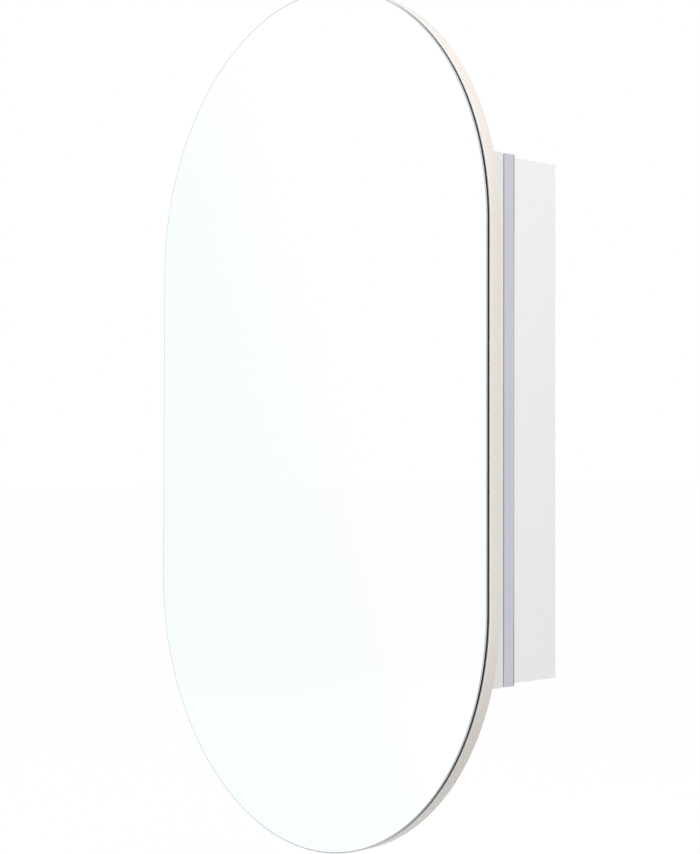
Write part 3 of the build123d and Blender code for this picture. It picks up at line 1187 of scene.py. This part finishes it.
@dataclass
class FrontTrim(SubAssembly):
    """Four mitred lengths of an angle extrusion."""

    flange: float = 2.0 * MM
    lip: float = 2.5 * MM
    front_round: float = 0.9 * MM
    rear_round: float = 2.2 * MM
    arris: float = 0.2 * MM
    # Rearward slope between which a face belongs to the rounded rear edge, which is painted in
    # shadow.
    rear_edge_slope: tuple[float, float] = (0.15, 0.98)

    def build(self) -> None:
        """Model each length along the box's sides."""
        for side, turn in {"right": 0, "left": 180, "top": -90, "bottom": 90}.items():
            self.length(side, Matrix.Rotation(math.radians(turn), 4, "Y"))

    def length(self, side: str, turn: Matrix) -> None:
        """Model one length as if on the right, then turn it into its place.

        Args:
            side: Which side of the box it runs along.
            turn: The turn from the right side to that side.
        """
        low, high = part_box(f"front_trim_{side}")
        upright = side in ("left", "right")
        corner = Vector((max(abs(low.x), abs(high.x)), 0, max(abs(low.z), abs(high.z))))
        outer = corner.x if upright else corner.z
        half = corner.z if upright else corner.x
        width = high.x - low.x if upright else high.z - low.z
        inner = outer - width
        bar = Workpiece.block(
            f"trim_bar_{side}", (inner, low.y, -half), (outer, low.y + self.flange, half)
        )
        face = outer - self.lip
        bar.cut((face, 0, 0), X_AXIS, keep_both=True)
        lip_depth = high.y - low.y - self.flange
        rearward = facing(Y_AXIS)
        bar.extrude(
            lambda centre, normal: rearward(centre, normal) and centre.x > face, (0, lip_depth, 0)
        )
        bar.bevel(Part.EDGE, self.edge_at(outer, low.y), self.front_round, segments=4)
        bar.bevel(Part.EDGE, self.edge_at(outer, high.y), self.rear_round, segments=4)
        bar.bevel(Part.EDGE, self.edge_at(inner, low.y), self.arris, segments=2)
        bar.cut((outer, 0, half), (-1, 0, 1))
        bar.cut((outer, 0, -half), (-1, 0, -1))
        bar.turn(turn)
        bar.close_up()
        least, most = self.rear_edge_slope
        # The rounded rear edge takes the painted shadow of the seam behind the trim.
        finishes = [self.palette.anodised, self.palette.shadow_line]
        bar.paint(finishes, lambda face: 1 if least < face.normal.y < most else 0)
        self.hand_over(bar, Body.CABINET, Slot.TRIM, [f"front_trim_{side}"])

    def edge_at(self, x: float, y: float) -> Test:
        """Test for the long edges at one place in the section.

        Args:
            x: That place's X.
            y: That place's Y.

        Returns:
            The test.
        """
        return lambda centre, run: (
            abs(run.z) > ROUGHLY and abs(centre.x - x) + abs(centre.y - y) < TOUCH
        )


# Screws


@dataclass
class CountersunkScrew:
    """Flat-headed screw with a cross recess, modelled once for each size."""

    length: float
    head: float
    shank: float
    head_play: float = 0.1 * MM
    rim: float = 0.15 * MM
    tip_share: float = 0.15
    sunk: float = 0.08 * MM
    groove: float = 0.7 * MM
    recess: float = 0.9 * MM
    recess_reach: float = 0.62
    recess_taper: float = 0.5
    sides: int = 32

    def build(self, name: str) -> Workpiece:
        """Make the screw with its head up and its top just under zero.

        Args:
            name: The piece's name.

        Returns:
            The screw as a workpiece.
        """
        top = -self.sunk
        head = self.head - self.head_play
        neck = top - self.rim - (head - self.shank)
        tip = -self.length + 2 * self.shank
        screw = Workpiece.rod(name, head, (0, 0, top - self.rim), (0, 0, top), self.sides)
        down = facing(-Z_AXIS)
        screw.extrude(down, (0, 0, neck - (top - self.rim)))
        screw.taper(-Z_AXIS, self.shank / head)
        screw.extrude(down, (0, 0, tip - neck))
        screw.extrude(down, (0, 0, -self.length - tip))
        screw.taper(-Z_AXIS, self.tip_share)
        reach = head * self.recess_reach
        for x, y in ((reach, self.groove / 2), (self.groove / 2, reach)):
            slot = Workpiece.block("slot", (-x, -y, top - self.recess), (x, y, 1 * MM))
            slot.taper(-Z_AXIS, self.recess_taper)
            screw.combine(slot, "DIFFERENCE")
        return screw


@dataclass
class Screws(SubAssembly):
    """All the screw groups, each in its node's own places."""

    spin_deg: float = 37.0

    def build(self) -> None:
        """Model each group from one screw of its size."""
        groups = {
            "carrier_screws": (Body.DOOR, Y_AXIS),
            "hinge_screws_door": (Body.DOOR, Y_AXIS),
            "strike_screws": (Body.DOOR, Y_AXIS),
            "hinge_screws_frame": (Body.CABINET, -Y_AXIS),
            "back_panel_screws": (Body.CABINET, Y_AXIS),
            "catch_screws": (Body.CABINET, -X_AXIS),
        }
        for node, (body, outward) in groups.items():
            self.group(node, body, outward)

    def group(self, node: str, body: Body, outward: Vector) -> None:
        """Model one group.

        Args:
            node: The CAD node of the group.
            body: The body that it rides on.
            outward: The way that the screws' heads face.
        """
        boxes = solids_of(node)
        size = boxes[0][1] - boxes[0][0]
        length = abs(size.dot(outward))
        head = (sum(size) - length) / 4
        pattern = CountersunkScrew(length, head, head / 2).build("screw")
        seat = outward.to_track_quat("Z", "Y").to_matrix().to_4x4()
        copies = []
        for index, corners in enumerate(boxes):
            top = middle(corners) + outward * (length / 2)
            spin = Matrix.Rotation(math.radians(self.spin_deg * index), 4, "Z")
            copies.append(pattern.copy("screw", Matrix.Translation(top) @ seat @ spin))
        bpy.data.objects.remove(pattern.obj, do_unlink=True)
        name = f"cross_head_{node}"
        self.hand_over_group(copies, name, body, Slot.SCREW, node, self.palette.zinc)


# Hinges


@dataclass
class ButtHinge(SubAssembly):
    """Three butt hinges: rolled leaves with countersunk holes, and their pins."""

    height: float = 60.0 * MM
    leaf_thickness: float = 0.8 * MM
    leaf_width: float = 18.0 * MM
    leaf_corner: float = 3.0 * MM
    edge_gap: float = 0.5 * MM
    neck_lap: float = 0.5 * MM
    knuckles: int = 5
    knuckle_gap: float = 0.3 * MM
    knuckle_arris: float = 0.15 * MM
    bore_radius: float = 1.55 * MM
    bore_overrun: float = 1.0 * MM
    sink_radius: float = 3.1 * MM
    sink_start: float = 0.1 * MM
    sink_depth: float = 2.0 * MM
    sink_taper: float = 0.36
    pin_radius: float = 1.5 * MM
    cap_height: float = 1.2 * MM
    cap_round: float = 0.7 * MM
    sides: int = 32
    axis: Vector = field(init=False)
    screw_seats: list[Vector] = field(init=False)

    def build(self) -> None:
        """Model both leaves and the pin of each hinge."""
        self.axis = Vector(frame["joints"][0]["pos_m"])
        self.screw_seats = [middle(corners) for corners in solids_of("hinge_screws_door")]
        door_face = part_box("carrier_panel")[1].y
        frame_leaf_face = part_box("front_trim_left")[0].y - self.leaf_thickness
        for place in ("upper", "middle", "lower"):
            self.leaf(f"hinge_leaf_door_{place}", Body.DOOR, 1, door_face)
            self.leaf(f"hinge_leaf_frame_{place}", Body.CABINET, 0, frame_leaf_face)
            self.pin(f"hinge_pin_{place}")

    def leaf(self, node: str, body: Body, first: int, y_low: float) -> None:
        """Model one leaf: plate, rolled knuckles, pin bore and screw holes.

        Args:
            node: The CAD node of the leaf.
            body: The body that it rides on.
            first: Which knuckle from the bottom is its first.
            y_low: Front face of the plate.
        """
        low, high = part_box(node)
        x, y = self.axis.x, self.axis.y
        y_high = y_low + self.leaf_thickness
        radius = x - low.x
        start = x + radius + self.edge_gap
        end = start + self.leaf_width
        leaf = Workpiece.block(f"rolled_{node}", (start, y_low, low.z), (end, y_high, high.z))
        leaf.bevel(
            Part.EDGE,
            lambda centre, run: abs(run.y) > ROUGHLY and abs(centre.x - end) < TOUCH,
            self.leaf_corner,
            segments=8,
        )
        bottom = middle((low, high)).z - self.height / 2
        pitch = self.height / self.knuckles
        for index in range(first, self.knuckles, 2):
            floor = bottom + index * pitch + self.knuckle_gap / 2
            roof = floor + pitch - self.knuckle_gap
            knuckle = Workpiece.rod("knuckle", radius, (x, y, floor), (x, y, roof))
            knuckle.bevel(Part.FACE, along(Z_AXIS), self.knuckle_arris, segments=1)
            neck = Workpiece.block(
                "neck", (x, y_low, floor), (start + self.neck_lap, y_high, roof)
            )
            leaf.combine(neck, "UNION")
            leaf.combine(knuckle, "UNION")
        bore_start = (x, y, low.z - self.bore_overrun)
        bore_end = (x, y, high.z + self.bore_overrun)
        leaf.combine(Workpiece.rod("bore", self.bore_radius, bore_start, bore_end), "DIFFERENCE")
        outer_face = y_high if body is Body.DOOR else y_low
        inward = -1 if body is Body.DOOR else 1
        for seat in self.screw_seats:
            if not low.z < seat.z < high.z:
                continue
            mouth = (seat.x, outer_face - inward * self.sink_start, seat.z)
            tip = (seat.x, outer_face + inward * self.sink_depth, seat.z)
            cone = Workpiece.rod("countersink", self.sink_radius, mouth, tip, self.sides)
            cone.taper(Y_AXIS * inward, self.sink_taper, seat)
            leaf.combine(cone, "DIFFERENCE")
        self.hand_over(leaf, body, Slot.HINGE_STEEL, [node], self.palette.nickel)

    def pin(self, node: str) -> None:
        """Model one pin with a domed head at each end.

        Args:
            node: The CAD node of the pin.
        """
        low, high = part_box(node)
        x, y = self.axis.x, self.axis.y
        radius = (high.x - low.x) / 2
        ends = ((low.z, low.z + self.cap_height, -1), (high.z - self.cap_height, high.z, 1))
        name = f"domed_{node}"
        pin = Workpiece.rod(name, self.pin_radius, (x, y, low.z), (x, y, high.z), self.sides)
        for floor, roof, outward in ends:
            head = Workpiece.rod("head", radius, (x, y, floor), (x, y, roof), self.sides)
            head.bevel(Part.FACE, facing(Z_AXIS * outward), self.cap_round, segments=4)
            pin.combine(head, "UNION")
        self.hand_over(pin, Body.CABINET, Slot.HINGE_STEEL, [node], self.palette.nickel)


# The inside of the box


@dataclass
class Shelving(SubAssembly):
    """Glass shelves and the steel pins that carry them."""

    glass_arris: float = 0.5 * MM
    pin_radius: float = 2.5 * MM
    pin_lead: float = 0.5 * MM
    collar_thickness: float = 1.5 * MM
    paddle_thickness: float = 3.5 * MM
    paddle_half: float = 4.0 * MM
    paddle_corner: float = 2.0 * MM

    def build(self) -> None:
        """Model both shelves and their pins."""
        for place in ("upper", "lower"):
            self.shelf(place)
            self.pins(place)

    def shelf(self, place: str) -> None:
        """Model one pane with polished, slightly rounded edges.

        Args:
            place: Upper or lower.
        """
        node = f"glass_shelf_{place}"
        pane = Workpiece.block(f"shelf_pane_{place}", *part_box(node))
        pane.bevel(Part.EDGE, anywhere, self.glass_arris, segments=3)
        pane.close_up()
        finishes = [self.palette.shelf_face, self.palette.shelf_edge]
        pane.paint(finishes, lambda face: 0 if abs(face.normal.z) > SQUARELY else 1)
        self.hand_over(pane, Body.CABINET, Slot.SHELF_GLASS, [node])

    def pins(self, place: str) -> None:
        """Model the four pins under one shelf.

        Args:
            place: Upper or lower.
        """
        node = f"shelf_pins_{place}"
        shelf_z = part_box(f"glass_shelf_{place}")[0].z
        pins = [self.one_pin(corners, shelf_z) for corners in solids_of(node)]
        palette, slot = self.palette, Slot.HINGE_STEEL
        self.hand_over_group(pins, f"steel_{node}", Body.CABINET, slot, node, palette.nickel)

    def one_pin(self, corners: Box, shelf_z: float) -> Workpiece:
        """Model one pin: a round peg, a half collar on the wall and a flat paddle.

        Args:
            corners: The pin's box in the CAD.
            shelf_z: Underside of the shelf.

        Returns:
            The pin.
        """
        low, high = corners
        side = 1 if low.x > 0 else -1
        tip, root = (low.x, high.x) if side > 0 else (high.x, low.x)
        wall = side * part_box("top_panel")[1].x
        collar_face = wall - side * self.collar_thickness
        y = (low.y + high.y) / 2
        z = shelf_z - self.pin_radius
        pin = Workpiece.rod("pin", self.pin_radius, (root, y, z), (collar_face, y, z), sides=32)
        pin.bevel(
            Part.FACE,
            lambda centre, normal: abs(centre.x - root) < TOUCH,
            self.pin_lead,
            segments=2,
        )
        radius = (high.y - low.y) / 2
        collar = Workpiece.rod("collar", radius, (wall, y, z), (collar_face, y, z), sides=40)
        collar.cut((0, 0, shelf_z), Z_AXIS)
        paddle = Workpiece.block(
            "paddle",
            (min(wall, tip), y - self.paddle_half, shelf_z - self.paddle_thickness),
            (max(wall, tip), y + self.paddle_half, shelf_z),
        )
        paddle.bevel(
            Part.EDGE,
            lambda centre, run: abs(run.z) > ROUGHLY and abs(centre.x - tip) < TOUCH,
            self.paddle_corner,
            segments=6,
        )
        pin.combine(collar, "UNION")
        return pin.combine(paddle, "UNION")


@dataclass
class CatchSet(SubAssembly):
    """Magnetic catch: its case with the pole magnet."""

    core_half: float = 20.0 * MM
    case_round: float = 1.4 * MM
    ear_round: float = 4.0 * MM
    ear_thickness: float = 3.0 * MM
    ear_setback: float = 2.0 * MM
    pocket_reach: float = 5.0 * MM
    magnet_play: float = 0.15 * MM
    pole_thickness: float = 1.2 * MM
    pole_lead: float = 0.5 * MM
    pole_arris: float = 0.25 * MM
    magnet_arris: float = 0.2 * MM
    # Grip ribs: the grooves between them.
    groove_pitch: float = 4.5 * MM
    groove_half: float = 0.6 * MM
    groove_depth: float = 0.5 * MM
    groove_front: float = 5.0 * MM
    groove_back: float = 3.0 * MM
    # Countersunk screw holes.
    sink_radius: float = 2.6 * MM
    sink_depth: float = 1.4 * MM
    sink_taper: float = 0.5
    # How far each cutting tool stands out of what it cuts.
    overrun: float = 1.0 * MM

    def build(self) -> None:
        """Model the case and the magnet."""
        self.case()
        self.magnet()

    def case(self) -> None:
        """Case with screw ears, a pocket for the magnet and grip ribs."""
        low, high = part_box("catch_housing")
        core = Workpiece.block(
            "catch_case", (low.x, low.y, -self.core_half), (high.x, high.y, self.core_half)
        )
        core.bevel(
            Part.EDGE,
            lambda centre, run: abs(centre.x - low.x) < TOUCH,
            self.case_round,
            segments=4,
        )
        ears = Workpiece.block(
            "ears", (high.x - self.ear_thickness, low.y + self.ear_setback, low.z), high
        )
        ears.bevel(Part.EDGE, along(X_AXIS), self.ear_round, segments=6)
        core.combine(ears, "UNION")
        play = Vector((self.magnet_play,) * 3)
        magnet_low, magnet_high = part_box("catch_magnet")
        pocket_low = magnet_low - play - Y_AXIS * self.pocket_reach
        core.combine(Workpiece.block("pocket", pocket_low, magnet_high + play), "DIFFERENCE")
        for step in range(-3, 4):
            z = step * self.groove_pitch
            groove = Workpiece.block(
                "groove",
                (low.x - self.overrun, low.y + self.groove_front, z - self.groove_half),
                (low.x + self.groove_depth, high.y - self.groove_back, z + self.groove_half),
            )
            core.combine(groove, "DIFFERENCE")
        for corners in solids_of("catch_screws"):
            seat = middle(corners)
            face = corners[0].x
            hole = Workpiece.rod(
                "hole",
                self.sink_radius,
                (face - self.overrun, seat.y, seat.z),
                (face, seat.y, seat.z),
                sides=32,
            )
            hole.extrude(facing(X_AXIS), (self.sink_depth, 0, 0))
            hole.taper(X_AXIS, self.sink_taper, (face + self.sink_depth, seat.y, seat.z))
            core.combine(hole, "DIFFERENCE")
        plastic = self.palette.plastic
        self.hand_over(core, Body.CABINET, Slot.WHITE_PLASTIC, ["catch_housing"], plastic)

    def magnet(self) -> None:
        """Ferrite block between two steel pole plates that stand a little forward."""
        low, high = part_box("catch_magnet")
        block = Workpiece.block(
            "pole_magnet",
            (low.x + self.pole_thickness, low.y + self.pole_lead, low.z),
            (high.x - self.pole_thickness, high.y, high.z),
        )
        block.bevel(Part.EDGE, anywhere, self.magnet_arris, segments=1)
        finishes = [self.palette.ferrite, self.palette.nickel]
        plates = []
        for x in (low.x, high.x - self.pole_thickness):
            plate = Workpiece.block(
                "pole", (x, low.y, low.z), (x + self.pole_thickness, high.y, high.z)
            )
            plate.bevel(Part.EDGE, anywhere, self.pole_arris, segments=2)
            plate.paint(finishes, lambda face: 1)
            plates.append(plate)
        block.paint(finishes, lambda face: 0)
        block.absorb(plates)
        self.hand_over(block, Body.CABINET, Slot.MAGNET, ["catch_magnet"])


@dataclass
class SoftParts(SubAssembly):
    """Door bumpers and the caps over the cams."""

    # Share of a bumper's height that its dome takes up.
    dome_share: float = 0.95
    cap_round: float = 0.5 * MM
    cap_rim: float = 1.2 * MM
    cap_slope: float = 0.4 * MM
    cap_dish: float = 0.3 * MM
    # How far off a cap's axis the centre of its middle face may be, in metres.
    centring: float = 1e-4

    def build(self) -> None:
        """Model the bumpers and the caps."""
        self.bumpers()
        self.caps()

    def bumpers(self) -> None:
        """Soft domes on the trim."""
        domes = []
        for low, high in solids_of("door_bumpers"):
            seat = middle((low, high))
            radius = (high.z - low.z) / 2
            dome = Workpiece.rod(
                "dome", radius, (seat.x, high.y, seat.z), (seat.x, low.y, seat.z), sides=48
            )
            dome.bevel(Part.FACE, facing(-Y_AXIS), (high.y - low.y) * self.dome_share, segments=8)
            domes.append(dome)
        name, node, silicone = "silicone_domes", "door_bumpers", self.palette.silicone
        self.hand_over_group(domes, name, Body.CABINET, Slot.BUMPER, node, silicone)

    def caps(self) -> None:
        """Dished push-in caps over the cams."""
        caps = []
        for low, high in solids_of("cam_covers"):
            seat = middle((low, high))
            outward = -1 if seat.z > 0 else 1
            wall, face = (high.z, low.z) if outward < 0 else (low.z, high.z)
            radius = (high.x - low.x) / 2
            cap = Workpiece.rod(
                "cap", radius, (seat.x, seat.y, wall), (seat.x, seat.y, face), sides=56
            )
            cap.bevel(Part.FACE, facing(Z_AXIS * outward), self.cap_round, segments=3)
            flat = facing(Z_AXIS * outward, SQUARELY)
            cap.inset(flat, self.cap_rim)
            cap.inset(
                lambda centre, normal: (
                    flat(centre, normal) and abs(centre.x - seat.x) < self.centring
                ),
                self.cap_slope,
                -self.cap_dish,
            )
            caps.append(cap)
        name, node, plastic = "dished_cam_caps", "cam_covers", self.palette.plastic
        self.hand_over_group(caps, name, Body.CABINET, Slot.WHITE_PLASTIC, node, plastic)


@dataclass
class PanelWork(SubAssembly):
    """Finishes of the CAD nodes that are shown as they are."""

    def build(self) -> None:
        """Dress each carried-over node."""
        palette = self.palette
        dressing = {
            # The carrier panel takes the white lacquer in painted shade.
            palette.shaded_lacquer: ["carrier_panel"],
            palette.lacquer: [
                "side_panel_left", "side_panel_right", "top_panel", "bottom_panel",
                "back_panel", "hanging_rail_upper", "hanging_rail_lower",
            ],
            palette.foam: ["mirror_tape"],
            palette.nickel: ["strike_plate"],
            palette.beech: ["rail_dowels", "corner_dowels"],
            palette.die_cast: ["cam_locks"],
            palette.zinc: ["cam_bolts"],
        }
        for material, nodes in dressing.items():
            for node in nodes:
                mesh = frame["nodes"][node].data
                mesh.materials.clear()
                mesh.materials.append(material)
                LOG.info("%s is dressed in %s", node, material.name)


# Studio


@dataclass
class Lamp:
    """One soft box."""

    name: str
    place: tuple[float, float, float]
    target: tuple[float, float, float]
    width: float
    height: float
    watts: float

    def hang(self) -> None:
        """Hang the lamp and point it at its target."""
        data = bpy.data.lights.new(self.name, "AREA")
        data.shape = "RECTANGLE"
        data.size, data.size_y = self.width, self.height
        data.energy = self.watts
        lamp = bpy.data.objects.new(self.name, data)
        bpy.context.collection.objects.link(lamp)
        lamp.visible_glossy = False
        lamp.location = self.place
        aim = Vector(self.target) - Vector(self.place)
        lamp.rotation_euler = aim.to_track_quat("-Z", "Y").to_euler()


@dataclass
class Studio:
    """White sweep, soft boxes and the camera at the photograph's place."""

    eye: tuple[float, float, float] = (1.42307, -1.24857, -0.03671)
    yaw: float = 0.8716
    pitch: float = 0.01748
    roll: float = 0.0023
    focal_px: float = 1548.78
    sensor_mm: float = 36.0
    ambient: float = 0.34
    floor_drop: float = 0.35
    floor_half: float = 30.0
    floor_colour: str = "#F4F4F4"
    floor_roughness: float = 0.9
    floor_specular: float = 0.1
    # Strength of the floor's own white, and the share of it that the eye gets.
    floor_glow: float = 1.03
    floor_glow_share: float = 0.94

    def build(self) -> None:
        """Set up the camera, the world, the floor and the lamps."""
        self.camera()
        self.world()
        self.floor()
        lamps = (
            Lamp("key_box", (2.4, -1.2, 2.6), (0.1, 0.0, 0.1), 1.6, 1.6, 100.0),
            Lamp("fill_box", (-2.4, -2.6, 1.0), (0.0, 0.0, 0.0), 2.0, 2.0, 22.0),
        )
        for lamp in lamps:
            lamp.hang()
        bpy.context.scene.view_settings.view_transform = "Standard"

    def camera(self) -> None:
        """Put the camera where the photograph was taken from."""
        data = bpy.data.cameras.new("camera")
        data.sensor_width = self.sensor_mm
        data.lens = self.focal_px * self.sensor_mm / max(PHOTO_WIDTH, PHOTO_HEIGHT)
        ahead = Vector(
            (
                -math.sin(self.yaw) * math.cos(self.pitch),
                math.cos(self.yaw) * math.cos(self.pitch),
                math.sin(self.pitch),
            )
        )
        level = Vector((math.cos(self.yaw), math.sin(self.yaw), 0.0))
        above = level.cross(ahead)
        right = level * math.cos(self.roll) + above * math.sin(self.roll)
        up = -level * math.sin(self.roll) + above * math.cos(self.roll)
        turn = Matrix((right, up, -ahead)).transposed()
        camera = bpy.data.objects.new("camera", data)
        bpy.context.collection.objects.link(camera)
        camera.matrix_world = Matrix.Translation(self.eye) @ turn.to_4x4()
        bpy.context.scene.camera = camera

    def world(self) -> None:
        """White background for the eye, for gloss and for glass; a softer one for the light."""
        world = bpy.data.worlds.new("studio")
        world.use_nodes = True
        tree = world.node_tree
        tree.nodes.clear()
        seen = self.seen_by_eye(tree)
        soft = add_node(
            tree,
            "ShaderNodeBackground",
            values={"Color": (1, 1, 1, 1), "Strength": self.ambient},
        )
        white = add_node(
            tree, "ShaderNodeBackground", values={"Color": (1, 1, 1, 1), "Strength": 1.0}
        )
        mix = add_node(
            tree,
            "ShaderNodeMixShader",
            links={0: seen, 1: soft.outputs[0], 2: white.outputs[0]},
        )
        add_node(tree, "ShaderNodeOutputWorld", links={"Surface": mix.outputs[0]})
        bpy.context.scene.world = world

    def seen_by_eye(self, tree: NodeTree) -> NodeSocket:
        """Tell rays that are looked along from rays that only bring light.

        Args:
            tree: Node tree of the world or of a material.

        Returns:
            Output that is 1 for camera, glossy and transmission rays.
        """
        path = add_node(tree, "ShaderNodeLightPath")
        first = add_node(
            tree,
            "ShaderNodeMath",
            settings={"operation": "MAXIMUM"},
            links={0: path.outputs["Is Camera Ray"], 1: path.outputs["Is Glossy Ray"]},
        )
        both = add_node(
            tree,
            "ShaderNodeMath",
            settings={"operation": "MAXIMUM"},
            links={0: first.outputs[0], 1: path.outputs["Is Transmission Ray"]},
        )
        return both.outputs[0]

    def floor(self) -> None:
        """Pale floor that reads white and still takes a shadow."""
        low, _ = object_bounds()
        drop_selection()
        bpy.ops.mesh.primitive_plane_add(
            size=2 * self.floor_half, location=(0, 0, low.z - self.floor_drop)
        )
        plane = bpy.context.active_object
        plane.name = "floor"
        material = bpy.data.materials.new("pale_floor")
        material.use_nodes = True
        tree = material.node_tree
        shader = tree.nodes["Principled BSDF"]
        shader.inputs["Base Color"].default_value = linear(self.floor_colour)
        shader.inputs["Roughness"].default_value = self.floor_roughness
        shader.inputs["Specular IOR Level"].default_value = self.floor_specular
        white = add_node(
            tree,
            "ShaderNodeEmission",
            values={"Color": (1, 1, 1, 1), "Strength": self.floor_glow},
        )
        share = add_node(
            tree,
            "ShaderNodeMath",
            settings={"operation": "MULTIPLY"},
            values={1: self.floor_glow_share},
            links={0: self.seen_by_eye(tree)},
        )
        mix = add_node(
            tree,
            "ShaderNodeMixShader",
            links={0: share.outputs[0], 1: shader.outputs[0], 2: white.outputs[0]},
        )
        tree.links.new(mix.outputs[0], tree.nodes["Material Output"].inputs["Surface"])
        plane.data.materials.append(material)
        plane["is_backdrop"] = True


def main() -> None:
    """Build the studio, then each sub-assembly."""
    logging.basicConfig(level=logging.INFO, format="%(name)s: %(message)s")
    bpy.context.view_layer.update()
    Studio().build()
    palette = Palette()
    PanelWork(palette).build()
    parts = (MirrorDoor, FrontTrim, Screws, ButtHinge, Shelving, CatchSet, SoftParts)
    for assembly in parts:
        assembly(palette).build()


if __name__ == "__main__":
    main()
